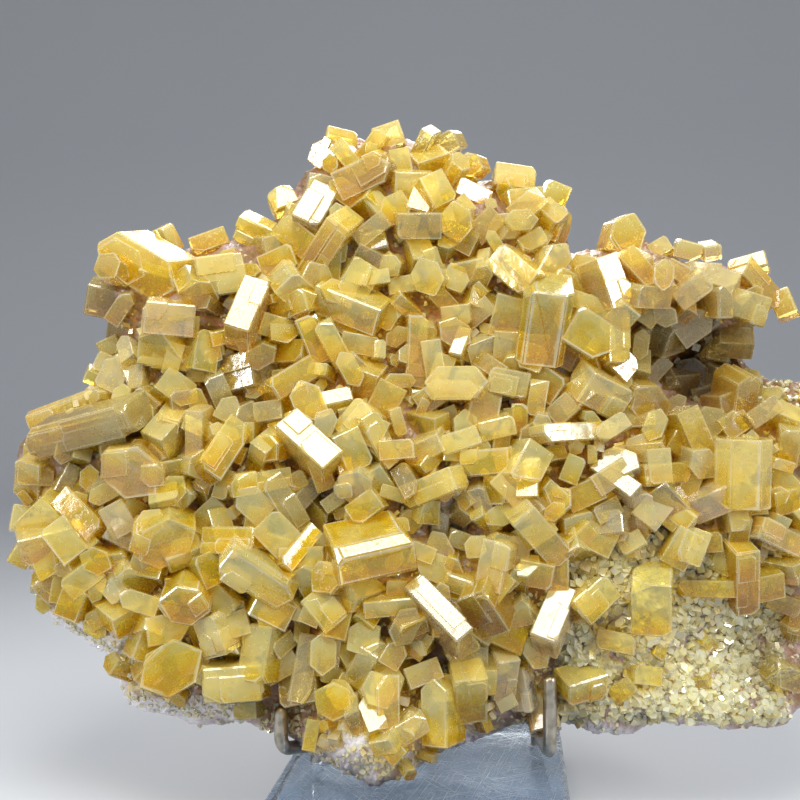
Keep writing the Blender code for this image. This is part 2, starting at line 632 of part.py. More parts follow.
def specimen(look):
    """Matrix and crystals as one grown solid, clear of the rods that hold it."""
    matrix = body_mesh()
    crystals = crystals_mesh()
    for bm in (matrix, crystals):
        for vert in bm.verts:
            vert.co = to_row(vert.co)
    made = add_object("barite_cluster", matrix, look)
    combine(made, add_object("crystals", crystals), "UNION")
    for prong in (LEFT_PRONG, RIGHT_PRONG):
        sleeve = rod("sleeve", prong_corners(prong), ROD + 2 * ROD_CLEARANCE)
        combine(made, sleeve, "DIFFERENCE", "MANIFOLD")
    keep_outer_shell(made)
    return made


def main():
    clear_scene()
    metal = material("bronzed_metal", (0.42, 0.40, 0.35), 0.3, metallic=1.0)
    acrylic = material("acrylic", (0.55, 0.62, 0.75), 0.2, transmission=0.9)
    cluster = specimen(material("barite", (0.80, 0.56, 0.16), 0.25))
    rod("left_prong", prong_corners(LEFT_PRONG), ROD, metal)
    rod("right_prong", prong_corners(RIGHT_PRONG), ROD, metal)
    rod("back_post", post_corners(cluster), ROD, metal)
    block(acrylic, [LEFT_PRONG[3:], RIGHT_PRONG[3:], POST_HOLE])


main()
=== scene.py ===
"""A barite specimen on its clear stand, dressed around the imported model.

The matrix, the larger crystals, the small ones between them and the fine druse replace the packed
cluster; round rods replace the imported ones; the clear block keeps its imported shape. As in the part's
source, the specimen is laid out as it is seen from the front, in mm: x runs right and z up on a
reference plane at the height of the eye, and y is the depth behind it.
"""

import math
import random

import bmesh
import bpy
from bpy.props import FloatProperty, FloatVectorProperty, IntProperty, PointerProperty
from mathutils import Matrix, Vector, noise
from mathutils.bvhtree import BVHTree
from mathutils.geometry import delaunay_2d_cdt


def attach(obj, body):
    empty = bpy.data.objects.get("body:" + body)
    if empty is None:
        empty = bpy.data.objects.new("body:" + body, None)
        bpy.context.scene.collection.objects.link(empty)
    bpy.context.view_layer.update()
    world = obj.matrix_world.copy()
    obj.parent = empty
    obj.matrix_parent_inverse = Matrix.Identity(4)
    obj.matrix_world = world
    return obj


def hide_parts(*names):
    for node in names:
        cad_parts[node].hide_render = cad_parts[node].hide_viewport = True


bl_info = {
    "name": "Barite specimen",
    "version": (1, 0, 0),
    "blender": (4, 5, 0),
    "location": "3D View > Sidebar > Barite",
    "description": "Dresses the packed specimen with its crystals, matrix and stand",
    "category": "Object",
}

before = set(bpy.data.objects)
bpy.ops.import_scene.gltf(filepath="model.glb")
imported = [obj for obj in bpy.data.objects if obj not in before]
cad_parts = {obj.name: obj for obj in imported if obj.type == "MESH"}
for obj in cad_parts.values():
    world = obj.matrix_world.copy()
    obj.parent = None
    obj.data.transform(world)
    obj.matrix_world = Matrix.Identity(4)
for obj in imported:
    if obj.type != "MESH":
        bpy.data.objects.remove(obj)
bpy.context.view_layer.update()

MM = 0.001

# Where the specimen is seen from
VIEW_TURN = math.radians(6.3)
VIEW_DISTANCE = 450.0
EYE_ABOVE_FLOOR = 189.0
EYE = Vector((0.0, -VIEW_DISTANCE, 0.0))

# Stand, in its own axes
BLOCK_HEIGHT = 24.0
BLOCK_OFFSET = (11.0, 15.0)
HOLE_CLEARANCE = 0.35
HOLE_DEPTH = 16.0
ROD = 6.0
BEND_RADIUS = 7.0
POINTS_PER_BEND = 12
LEFT_PRONG = (-61.0, -34.6, 55.6, -49.6, -11.2)
RIGHT_PRONG = (55.3, -27.0, 70.5, 51.0, 22.0)
PRONG_FOOT = 37.0
LEG_END = 31.0
POST_HOLE = (-2.0, 60.0)
POST_HEIGHT = 104.0

# Rounded end of a rod: distance along it and width, as shares of its radius
ROD_NOSE = [
    (0.0, 0.12), (0.02, 0.3), (0.08, 0.52), (0.2, 0.72), (0.4, 0.88), (0.7, 0.97), (1.0, 1.0),
]

# Body of the specimen
MIDDLE_DEPTH = 16.0
LEAN = 0.13
LEAN_FROM = -60.0
RIM_HALF = 9.0
FRONT_DOME = 16.0
FRONT_ROUND = 30.0
BACK_DOME = 20.0
BACK_ROUND = 55.0

# Angles between the faces of a barite crystal, in degrees
PRISM_FROM_LENGTH = 39.1
DOME_FROM_FLAT = 52.7

# The matrix's edge, clockwise from the upper left: x, z on the reference plane
OUTLINE = [
    (-136, 52), (-128, 64), (-112, 60), (-92, 66), (-72, 69), (-58, 74), (-50, 86), (-37, 104),
    (-20, 115), (-2, 116), (18, 111), (34, 97), (58, 95), (70, 84), (74, 64), (90, 64), (106, 70),
    (130, 60), (156, 55), (167, 46), (162, 39), (153, 31), (152, 18), (160, 8), (172, 4), (187, 4),
    (189, -40), (188, -84), (184, -122), (171, -146), (150, -147), (134, -144), (117, -144),
    (99, -148), (76, -144), (58, -144), (45, -147), (31, -151), (18, -156), (4, -167), (-11, -171),
    (-25, -167), (-38, -159), (-45, -152), (-70, -144), (-90, -143), (-110, -139), (-124, -134),
    (-127, -118), (-139, -107), (-162, -92), (-164, -78), (-169, -60), (-170, -42), (-168, -22),
    (-156, -8), (-142, 1), (-132, 8), (-124, 20), (-126, 36),
]

# Lumps and hollows: x, z, half width, half height, rise towards the viewer
SWELLS = [
    (5, 95, 55, 34, 9), (-95, 50, 40, 28, 14), (122, 58, 58, 20, 22), (132, 14, 27, 22, -34),
    (-74, 10, 20, 18, -12), (0, -30, 120, 40, 12), (-60, 70, 14, 14, -6), (-112, -95, 45, 40, 9),
    (5, -85, 60, 26, 10), (-150, -15, 30, 14, 8), (130, -116, 45, 26, -10), (170, -112, 26, 26, -12),
    (-40, -50, 10, 8, -9), (14, -10, 12, 9, -9), (22, -62, 14, 10, -10), (-84, -49, 12, 8, -8),
    (-53, -142, 17, 20, -14), (67, -136, 17, 26, -12), (100, 20, 16, 40, 8),
]

# Swells that carry the edge with them
EDGE_SWELLS = [(-12, -165, 32, 30, 24), (5, 110, 70, 40, -4), (150, 60, 40, 30, 6)]

# Crystals, given one by one: x, z, length, width, turn in degrees, habit, lift off the matrix
UPPER_LEFT = [
    (-119, 60, 46, 22, -30, "hex", 8), (-131, 43, 22, 16, -12, "house", 2),
    (-127, 30, 14, 12, -20, "bar", -2), (-132, 16, 13, 10, -25, "bar", 2),
    (-86, 72, 18, 9, 22, "bar", 0), (-66, 74, 18, 13, -25, "bar", 3), (-80, 57, 22, 18, 10, "stub", 3),
    (-69, 44, 27, 13, 72, "flash", 12), (-104, 36, 24, 16, -4, "bar", 6),
    (-121, 14, 20, 9, -62, "flash", 4), (-106, 20, 26, 12, -6, "bar", 3),
    (-99, 5, 20, 14, -38, "house", 4), (-116, -2, 14, 12, -40, "bar", 4),
    (-85, 24, 16, 14, -30, "rhomb", 3), (-77, 12, 24, 18, 15, "stub", 0),
]
HUMP = [
    (-35, 111, 16, 13, 15, "hex", 3), (-26, 118, 15, 11, -10, "bar", 3),
    (-5, 119, 14, 12, 20, "stub", 2), (-14, 113, 20, 8, 50, "bar", 4),
    (-17, 101, 28, 15, 22, "house", 8), (-38, 89, 22, 14, 62, "flash", 8),
    (-53, 92, 13, 11, 25, "bar", 2), (-48, 74, 20, 13, -40, "bar", 5), (-36, 66, 32, 12, 52, "bar", 10),
    (8, 112, 18, 7, 60, "bar", 3), (18, 114, 16, 10, 25, "bar", 2), (31, 106, 13, 11, -20, "hex", 3),
    (9, 78, 22, 13, 2, "bar", 9), (10, 92, 16, 12, 70, "flash", 5), (27, 86, 14, 10, 40, "bar", 3),
    (52, 101, 20, 12, -8, "bar", 4), (57, 92, 18, 8, 8, "bar", 5), (69, 80, 18, 10, 70, "bar", 2),
    (47, 78, 18, 13, 0, "rhomb", 4), (27, 73, 16, 12, -30, "bar", 3), (-12, 72, 13, 10, 15, "stub", 2),
    (-8, 87, 18, 10, -50, "bar", 2), (60, 72, 14, 9, 30, "bar", 3),
]
UPPER_MIDDLE = [
    (16, 60, 18, 8, -70, "bar", 5), (31, 58, 16, 10, 10, "bar", 4), (50, 59, 24, 14, -45, "bar", 8),
    (70, 61, 24, 13, 60, "house", 7), (-22, 58, 18, 12, -15, "bar", 4),
    (-25, 40, 34, 15, -22, "bar", 7), (1, 52, 14, 9, 10, "bar", 3), (8, 24, 30, 10, 88, "bar", 8),
    (25, 38, 14, 10, 5, "bar", 5), (65, 31, 34, 24, 85, "bar", 12), (87, 29, 26, 20, -32, "house", 9),
    (86, 43, 22, 9, -22, "bar", 7), (99, 30, 29, 10, 89, "bar", 12), (-39, 27, 24, 10, -68, "bar", 8),
    (-30, 25, 24, 10, -62, "bar", 9), (-62, 10, 18, 8, 32, "bar", 5), (-46, 11, 26, 12, 33, "bar", 9),
    (-29, 2, 16, 8, 12, "flash", 7), (25, 8, 30, 16, 0, "hex", 9), (49, 8, 20, 13, -12, "bar", 6),
    (62, 1, 18, 9, 80, "bar", 8), (93, 1, 24, 17, -24, "bar", 6), (113, -3, 24, 18, -50, "hex", 9),
    (-51, 42, 20, 12, 20, "bar", 3), (-52, 32, 16, 13, 42, "rhomb", 4), (-16, 12, 18, 8, -40, "bar", 2),
    (-5, 38, 14, 10, 60, "bar", 3), (38, 22, 16, 11, 20, "bar", 2), (73, 16, 19, 7, -60, "bar", 2),
    (14, 1, 16, 12, 35, "stub", 0), (38, 45, 14, 10, -20, "bar", 2), (-8, 60, 14, 10, 40, "bar", 3),
]
RIGHT_LOBE = [
    (103, 75, 20, 17, 75, "house", 4), (97, 54, 26, 13, -70, "bar", 9), (109, 59, 14, 9, 20, "bar", 6),
    (138, 58, 18, 9, 0, "bar", 5), (156, 62, 17, 8, 15, "bar", 3), (164, 52, 26, 12, -42, "bar", 4),
    (172, 44, 13, 10, -75, "bar", 2), (115, 46, 18, 11, 0, "bar", 9), (132, 49, 18, 11, 38, "bar", 8),
    (147, 44, 16, 9, 92, "bar", 7), (158, 42, 20, 14, -15, "stub", 3), (131, 32, 24, 12, 35, "bar", 2),
    (118, 12, 16, 10, -70, "bar", 2), (144, 22, 13, 10, -10, "bar", 2), (113, 30, 14, 9, -30, "bar", 0),
    (156, 0, 23, 12, 88, "house", 10),
]
MIDDLE = [
    (-41, -17, 32, 14, -40, "flash", 13), (-22, -8, 20, 12, 50, "bar", 7),
    (-8, -18, 28, 10, -65, "bar", 8), (-20, -40, 20, 16, -35, "hex", 6),
    (-60, -22, 16, 13, -45, "rhomb", 7), (-62, -37, 28, 10, 9, "bar", 8),
    (-51, -47, 30, 12, -62, "bar", 7), (-40, -41, 20, 9, 48, "bar", 4),
    (-78, -21, 28, 14, 60, "bar", 9), (-93, -16, 24, 9, 88, "bar", 9),
    (-106, -16, 18, 12, 75, "bar", 4), (-104, -32, 17, 10, 8, "bar", 5),
    (-88, -36, 14, 9, 70, "bar", 5), (-100, -46, 16, 10, 45, "bar", 4), (10, -23, 20, 10, 25, "bar", 6),
    (27, -18, 20, 10, 18, "bar", 8), (44, -13, 18, 10, 14, "bar", 9), (38, -28, 24, 13, 5, "bar", 4),
    (60, -29, 20, 16, 60, "stub", 7), (53, -43, 28, 11, -46, "bar", 8), (12, -40, 27, 12, 25, "bar", 7),
    (70, -46, 19, 13, 40, "hex", 6), (82, -14, 40, 9, 2, "bar", 10), (107, -24, 22, 9, 6, "bar", 5),
    (97, -34, 22, 9, -38, "flash", 7), (121, -33, 24, 10, 2, "bar", 8),
    (110, -50, 17, 10, -76, "bar", 5), (145, -46, 30, 14, 25, "bar", 8),
    (92, -55, 16, 12, 10, "bar", 4), (135, -17, 30, 12, -66, "bar", 10),
    (156, -34, 34, 27, 89, "bar", 10), (175, -23, 20, 10, 90, "bar", 7),
    (175, -46, 14, 12, 10, "stub", 4), (124, -53, 17, 13, -40, "bar", 5),
    (184, -10, 18, 10, 75, "bar", 2), (185, -58, 17, 11, -60, "bar", 2),
    (38, -50, 24, 9, -66, "bar", 4), (2, -36, 16, 10, -60, "bar", 5), (54, -9, 16, 8, 90, "bar", 5),
]
LOWER_LEFT = [
    (-146, -15, 58, 15, 13, "bar", 9), (-151, -4, 46, 12, 18, "bar", 4),
    (-168, -36, 18, 14, 78, "bar", 4), (-121, -33, 32, 24, -44, "rhomb", 10),
    (-146, -51, 27, 12, -40, "bar", 7), (-137, -41, 15, 10, 48, "bar", 4),
    (-127, -54, 17, 13, -62, "bar", 6), (-155, -66, 30, 15, 12, "bar", 5),
    (-106, -65, 33, 22, 24, "rhomb", 11), (-78, -63, 26, 13, 1, "bar", 9),
    (-143, -81, 19, 12, 38, "bar", 7), (-157, -86, 15, 12, -55, "bar", 4),
    (-64, -82, 38, 18, -37, "bar", 12), (-97, -93, 25, 20, -12, "hex", 8),
    (-130, -74, 15, 10, 8, "bar", 4), (-169, -53, 12, 12, 85, "bar", 3),
    (-118, -82, 16, 9, -40, "bar", 3), (-135, -98, 15, 10, 30, "bar", 3),
    (-83, -90, 20, 13, -42, "bar", 5), (-96, -72, 18, 9, 20, "bar", 7),
    (-57, -95, 20, 14, -30, "bar", 7), (-120, -103, 14, 9, -20, "bar", 2),
]
LOWER_MIDDLE = [
    (-44, -66, 22, 9, 50, "bar", 7), (-56, -65, 16, 9, -15, "bar", 5),
    (-10, -74, 38, 22, 11, "bar", 13), (-34, -80, 20, 17, 48, "rhomb", 8),
    (65, -63, 33, 14, -48, "bar", 11), (82, -63, 17, 10, 42, "bar", 7), (41, -75, 25, 14, 80, "bar", 9),
    (61, -79, 17, 13, -10, "bar", 6), (17, -93, 34, 11, -42, "flash", 14),
    (37, -97, 25, 16, -57, "bar", 9), (-4, -94, 27, 9, 5, "bar", 8), (9, -104, 20, 13, 20, "bar", 7),
    (3, -113, 18, 9, 18, "bar", 5), (69, -95, 26, 13, 60, "flash", 9), (89, -90, 22, 14, 38, "bar", 9),
    (113, -95, 27, 19, 95, "bar", 11), (97, -109, 18, 10, -8, "bar", 6),
    (157, -83, 33, 12, 96, "bar", 11), (172, -62, 26, 11, -25, "bar", 8),
    (153, -60, 15, 10, 88, "bar", 6), (138, -85, 26, 8, 2, "bar", 5), (170, -78, 18, 10, -8, "bar", 4),
    (173, -92, 15, 9, -20, "bar", 3), (18, -58, 17, 9, 88, "bar", 3), (132, -66, 18, 13, 70, "stub", 4),
    (26, -84, 15, 9, -15, "bar", 5), (-20, -56, 15, 12, 80, "bar", 3),
    (-34, -94, 20, 14, -50, "bar", 6), (53, -98, 14, 11, 15, "bar", 3),
]
BOTTOM = [
    (-103, -121, 33, 24, 28, "rhomb", 10), (-86, -107, 20, 14, -70, "bar", 7),
    (-66, -114, 27, 15, 82, "bar", 7), (-75, -128, 29, 17, 3, "bar", 8),
    (-43, -121, 33, 11, 80, "bar", 7), (-30, -136, 21, 17, -25, "hex", 9),
    (-5, -137, 27, 12, 90, "bar", 8), (15, -141, 32, 14, 91, "house", 8),
    (32, -136, 25, 16, 95, "bar", 8), (48, -127, 23, 12, 84, "bar", 7),
    (61, -128, 34, 15, 100, "flash", -10), (-18, -121, 20, 11, 62, "bar", 8),
    (-31, -114, 17, 10, 85, "bar", 6), (-8, -119, 22, 10, -72, "bar", 7),
    (28, -112, 17, 10, 30, "bar", 5), (85, -131, 21, 13, 10, "bar", 4),
    (112, -124, 14, 9, -10, "bar", 3), (181, -98, 18, 11, 80, "bar", 3), (176, -126, 17, 12, -20, "bar", 2),
]
SMALL_LANDMARKS = [
    (-131, 24, 11, 9, 25, "bar", 1), (-107, 71, 13, 8, -65, "bar", 1),
    (-92, 11, 9, 7, 0, "bar", 2), (-135, 8, 14, 7, -25, "bar", 1), (71, 93, 12, 10, -20, "bar", 1),
    (27, 27, 15, 7, 68, "flash", 9), (130, 67, 13, 9, -15, "bar", 2), (141, 66, 9, 8, 10, "bar", 2),
    (117, 69, 10, 8, 30, "bar", 2), (125, 58, 12, 9, -30, "bar", 5), (137, 2, 11, 9, 15, "bar", 1),
    (-38, -5, 12, 9, 20, "bar", 5), (24, -37, 13, 8, -45, "bar", 4), (-170, -70, 12, 10, 60, "bar", 1),
    (104, -64, 13, 9, 30, "bar", 4), (-20, -146, 14, 8, -70, "bar", 4), (100, -131, 13, 9, 40, "bar", 1),
    (135, -128, 9, 6, 15, "bar", 1), (118, -112, 9, 7, 60, "bar", 1), (140, -110, 8, 6, -35, "bar", 1),
    (52, -131, 21, 12, 100, "bar", 1), (-8, -157, 12, 9, 20, "bar", 4), (2, -153, 11, 8, 70, "bar", 4),
    (-70, -140, 12, 8, 10, "bar", 2), (36, -118, 15, 8, 90, "bar", 5),
]
LANDMARKS = (
    UPPER_LEFT + HUMP + UPPER_MIDDLE + RIGHT_LOBE + MIDDLE + LOWER_LEFT + LOWER_MIDDLE + BOTTOM
    + SMALL_LANDMARKS
)

# Colour by place, with painted light: the smoky spot at 133, 17 darkens the recess under the right lobe as
# painted shade, and the milky spots on the flashing crystals whiten them as painted highlight; x, z, radius,
# then how amber, smoky and milky the crystals there are
COLOUR_AND_PAINTED_LIGHT_SPOTS = [
    (-40, 40, 12, 0.9, 0.0, 0.0), (-47, 22, 8, 0.9, 0.0, 0.0), (45, 45, 10, 0.8, 0.0, 0.0),
    (38, -3, 9, 0.8, 0.0, 0.0), (63, 5, 9, 0.9, 0.0, 0.0), (-130, -18, 14, 0.8, 0.0, 0.0),
    (-46, -30, 10, 0.8, 0.0, 0.0), (157, -83, 12, 0.9, 0.0, 0.0), (9, -104, 9, 0.7, 0.0, 0.0),
    (-103, -125, 12, 0.7, 0.0, 0.0), (113, -3, 8, 0.8, 0.0, 0.0), (-62, 10, 12, 0.0, 0.7, 0.0),
    (-40, -41, 8, 0.0, 0.5, 0.2), (73, 16, 9, 0.0, 0.9, 0.0), (75, 0, 7, 0.0, 0.7, 0.2),
    (18, -58, 9, 0.0, 0.3, 0.7), (-12, 71, 8, 0.0, 0.6, 0.2), (173, -92, 12, 0.0, 0.6, 0.1),
    (168, -118, 18, 0.0, 0.9, 0.0), (119, 33, 9, 0.0, 0.8, 0.1), (133, 17, 27, 0.1, 1.2, 0.0),
    (-155, -35, 10, 0.1, 0.7, 0.1), (-103, -4, 8, 0.2, 0.6, 0.0), (-131, 43, 9, 0.1, 0.6, 0.0),
    (-127, 30, 9, 0.0, 0.7, 0.1), (-77, 12, 9, 0.0, 0.7, 0.1), (-85, 45, 9, 0.0, 0.6, 0.0),
    (-121, 14, 9, 0.0, 0.4, 0.6), (-105, 39, 9, 0.0, 0.1, 0.5), (-38, 89, 9, 0.0, 0.4, 0.5),
    (97, -34, 10, 0.0, 0.4, 0.5), (92, -55, 8, 0.0, 0.6, 0.4), (110, -50, 7, 0.0, 0.0, 0.6),
    (145, -46, 12, 0.0, 0.0, 0.5), (168, -67, 8, 0.0, 0.0, 0.6), (69, -95, 11, 0.0, 0.2, 0.7),
    (61, -128, 11, 0.0, 0.0, 0.5), (-41, -17, 11, 0.0, 0.0, 0.2), (-69, 44, 11, 0.0, 0.0, 0.25),
    (17, -93, 9, 0.0, 0.0, 0.3), (-127, -54, 9, 0.0, 0.0, 0.6), (10, 20, 40, 0.0, 0.0, 0.15),
    (52, -131, 7, 0.0, 0.0, 1.0), (80, 66, 14, 0.0, 0.0, 0.4), (135, 62, 30, 0.0, 0.0, 0.4),
]

# Where fine druse grows: x, z, half width, half height, crystals, smallest and largest size
DRUSE_FIELDS = [
    (122, -102, 50, 42, 1900, 2.2, 5.6), (128, -130, 48, 13, 420, 1.6, 3.6), (172, 4, 13, 12, 130, 1.4, 3.0),
    (-110, -125, 45, 18, 420, 1.0, 2.4), (-150, -95, 25, 25, 320, 1.0, 2.6),
    (-20, -150, 45, 20, 420, 1.0, 2.8),
    (-45, -84, 22, 16, 260, 1.0, 2.6), (-150, 2, 14, 8, 120, 0.9, 2.0), (55, -112, 28, 26, 420, 1.0, 2.8),
    (0, -20, 175, 130, 2600, 1.2, 3.0),
]

# Stains of the matrix, and painted shade where the brown blob at 133, 18 darkens the recess under the right
# lobe: x, z, half width, half height, then brown share and white share
STAINS_AND_SHADE = [
    (133, 18, 36, 28, 1.5, 0.0), (-45, -100, 16, 12, 0.8, 0.0), (42, -146, 16, 8, 0.7, 0.0),
    (67, -110, 10, 8, 0.6, 0.0), (-144, 6, 10, 5, 0.0, 1.0), (-160, -50, 10, 20, 0.0, 0.7),
    (-150, -110, 30, 22, 0.0, 1.0), (-20, -160, 34, 14, 0.0, 0.9), (145, -142, 40, 8, 0.0, 0.3),
    (168, -117, 20, 24, 1.3, 0.0), (0, 0, 110, 60, 0.45, 0.0), (118, -104, 44, 34, 0.0, 0.5),
    (-110, -143, 34, 11, 0.0, 1.0), (60, -150, 60, 7, 0.0, 0.5),
]

SMALL_SEED = 23
DRUSE_SEED = 37
SUGAR_SEED = 43
BACK_SEED = 41


def colour_setting(name, description, default):
    return FloatVectorProperty(
        name=name, description=description, subtype="COLOR", size=3, min=0.0, max=1.0, default=default,
    )


def power_setting(name, description, default):
    return FloatProperty(name=name, description=description, unit="POWER", min=0.0, default=default)


class SpecimenSettings(bpy.types.PropertyGroup):
    amber: colour_setting("Amber", "Deep colour inside the crystals", (0.74, 0.40, 0.003))
    # Painted shade: the darkest amber, laid on the lower ends of the most amber crystals, where they overlap
    shaded_amber: colour_setting("Burnt amber", "Colour deep down, where crystals overlap", (0.48, 0.22, 0.004))
    honey: colour_setting("Honey", "Usual colour of the crystals", (0.86, 0.64, 0.03))
    straw: colour_setting("Straw", "Pale colour where a crystal is thin", (0.97, 0.89, 0.33))
    smoke: colour_setting("Smoke", "Colour of the grey crystals", (0.27, 0.20, 0.13))
    milk: colour_setting("Milk", "Colour of veils and frosted faces", (0.92, 0.88, 0.74))
    pink: colour_setting("Pink", "Colour of the matrix", (0.50, 0.34, 0.34))
    white: colour_setting("White", "Colour of the sugary crusts on the matrix", (0.72, 0.68, 0.70))
    # Brown is also the painted shade in the gaps between crystals and in the recess under the right lobe
    brown: colour_setting("Brown", "Colour of the stained matrix", (0.20, 0.105, 0.035))
    edge_width: FloatProperty(
        name="Edge width", description="Width of the worn edges of the larger crystals",
        subtype="DISTANCE", unit="LENGTH", min=0.0, default=0.0006,
    )
    small_count: IntProperty(
        name="Small crystals", description="How many places for small crystals are tried",
        min=0, default=4200,
    )


class StandSettings(bpy.types.PropertyGroup):
    metal: colour_setting("Metal", "Colour of the rods", (0.44, 0.40, 0.33))
    acrylic: colour_setting("Acrylic", "Tint of the clear block", (0.72, 0.80, 0.90))


class StageSettings(bpy.types.PropertyGroup):
    floor: colour_setting("Floor", "Colour of the floor", (0.52, 0.54, 0.57))
    key_power: power_setting("Key light", "Power of the light above the viewer", 4.3)
    strip_power: power_setting("Side lights", "Power of each light at the side", 2.8)
    rim_power: power_setting("Rim light", "Power of the light above and behind", 2.6)


# Places in the view

def to_row(point):
    """A point of the front view, in mm, to the stand's own axes in metres."""
    turned = Matrix.Rotation(VIEW_TURN, 3, "Z") @ Vector(point)
    return (turned - Vector((BLOCK_OFFSET[0], BLOCK_OFFSET[1], -EYE_ABOVE_FLOOR))) * MM


def from_row(point):
    """A point of the stand's own axes, in mm, to the front view."""
    moved = Vector(point) + Vector((BLOCK_OFFSET[0], BLOCK_OFFSET[1], -EYE_ABOVE_FLOOR))
    return Matrix.Rotation(-VIEW_TURN, 3, "Z") @ moved


def along_sight(x, y, z):
    """A reading on the reference plane, carried along its line of sight to depth y."""
    reach = (VIEW_DISTANCE + y) / VIEW_DISTANCE
    return Vector((x * reach, y, z * reach))


def blobs_at(blobs, x, z, column=4):
    """Sum of soft round blobs at a place: each is x, z, half width, half height and strengths."""
    total = 0.0
    for blob in blobs:
        away = ((x - blob[0]) / blob[2]) ** 2 + ((z - blob[1]) / blob[3]) ** 2
        total += blob[column] * math.exp(-away)
    return total


def edge_distance(x, z):
    """Distance inwards from the matrix's edge, 0 outside it."""
    inside = False
    nearest = 1e9
    last_x, last_z = OUTLINE[-1]
    for at_x, at_z in OUTLINE:
        if (at_z > z) != (last_z > z):
            if x < (last_x - at_x) * (z - at_z) / (last_z - at_z) + at_x:
                inside = not inside
        side_x, side_z = at_x - last_x, at_z - last_z
        share = ((x - last_x) * side_x + (z - last_z) * side_z) / (side_x ** 2 + side_z ** 2)
        share = min(max(share, 0.0), 1.0)
        nearest = min(nearest, math.hypot(x - last_x - share * side_x, z - last_z - share * side_z))
        last_x, last_z = at_x, at_z
    return nearest if inside else 0.0


def rounding(distance, radius):
    """A quarter round: 0 at the edge, 1 at the radius and beyond."""
    short = 1.0 - min(distance / radius, 1.0)
    return math.sqrt(1.0 - short * short)


def middle_depth(x, z):
    return MIDDLE_DEPTH + LEAN * (z - LEAN_FROM) - blobs_at(EDGE_SWELLS, x, z)


def front_depth(x, z):
    """Depth of the surface that the crystals grow from."""
    inward = rounding(edge_distance(x, z), FRONT_ROUND)
    return middle_depth(x, z) - RIM_HALF - (FRONT_DOME + blobs_at(SWELLS, x, z)) * inward


def back_depth(x, z):
    return middle_depth(x, z) + RIM_HALF + BACK_DOME * rounding(edge_distance(x, z), BACK_ROUND)


def facing(turn, yaw, pitch):
    """Axes of a crystal whose length runs at this turn in the view and whose broad face is
    tilted from the viewer by yaw to the right and pitch upwards."""
    yaw, pitch, turn = math.radians(yaw), math.radians(pitch), math.radians(turn)
    broad = Vector((math.sin(yaw) * math.cos(pitch), -math.cos(yaw) * math.cos(pitch), math.sin(pitch)))
    return upright_on(broad, Vector((math.cos(turn), 0.0, math.sin(turn))))


def upright_on(broad, along):
    """Axes with the third along the broad face's normal and the first seen to run along this way."""
    length = along.copy()
    if abs(broad.y) > 0.2:
        length.y -= along.dot(broad) / broad.y
    else:
        length -= broad * along.dot(broad)
    length.normalize()
    return Matrix((length, broad.cross(length), broad)).transposed()


def slope(angle, first, second):
    """The four face normals at this angle from one axis towards another."""
    near, far = math.cos(math.radians(angle)), math.sin(math.radians(angle))
    return [first * a * near + second * b * far for a in (1, -1) for b in (1, -1)]


# Crystals

SEED = 14
CRYSTAL_SHARE = 0.92
BEVELLED_FROM = 450.0
BEVEL_REACH = (0.72, 0.88)
BLUNT_POINT = 0.12
CORNER_REACH = 0.86
THICKNESS = {"rhomb": 0.55, "stub": 1.25, "flash": 0.8}
BAR_THICKNESS = (0.75, 0.95)
PROUD_SHARE = 0.6
ROOT = 4.0
MOST_FORESHORTENED = 0.75
YAW = (-30.0, 30.0)
PITCH = (-28.0, 18.0)

# The light that flashing faces mirror to the viewer, as a place in the view
FLASH_LIGHT = Vector((-40.0, -330.0, 480.0))

# How near a small crystal's face may come to mirroring it, and which way most then turn instead
NEAR_MIRROR = 0.965
AWAY_FROM_LIGHT = Vector((0.1, 0.0, -0.45))

# The way out of the matrix and up, along which a crystal grows paler, and by how much: partly its colour
# zoning, partly painted light on its upper end and painted shade deepening the amber down to its root
LIT_OUTER_WAY = Vector((0.0, -0.5, 0.87))
AMBER_AND_SHADE_RISE = 1.6

# Width of the pale band inside a crystal's edges, as a share of its width and at most of the circle in a
# face; the smallest face that has one, in square mm, and how pale its edges are, which also sets how
# strongly a painted highlight lies on them
PALE_BAND = 0.1
BAND_IN_FACE = 0.6
LEAST_BAND_FACE = 2.5
EDGE_PALENESS_AND_GLEAM = (0.5, 1.4)

# Broken corners: how deep each is as shares of the crystal's thinnest side, how its slope may lie
# between the three sides, and the most of them on each kind of crystal
CHIP_DEPTH = (0.05, 0.3)
CHIP_SLOPE = (0.25, 1.0)
MOST_CHIPS = {"large": 3, "small": 2, "shard": 4}

# How far apart crystals lie in the pattern of their material
PATTERN_REACH = 500

# A crystal's own colour: how amber and milky it may be, and how often and how much it is smoky
AMBER_RANGE = (-0.25, 0.8)
MILKY_RANGE = (-0.8, 0.3)
SMOKY_SHARE = 0.1
SMOKY_RANGE = (0.2, 0.6)

# Blocks grown in parallel with a crystal: how many may be drawn, from what broad face on, their
# shares of its sides, how near its ends they lie and how far they stand out of it, in mm
TWIN_COUNTS = (0, 0, 1, 1, 2, 3)
TWINNED_FROM = 180
TWIN_SHARES = ((0.3, 0.85), (0.35, 0.9), (0.85, 0.98))
TWIN_ENDWAYS = (0.5, 1.0)
TWIN_SIDEWAYS = (0.7, 1.0)
TWIN_PROUD = ((0.0, 0.8), (0.3, 1.1), (0.25, 0.9))


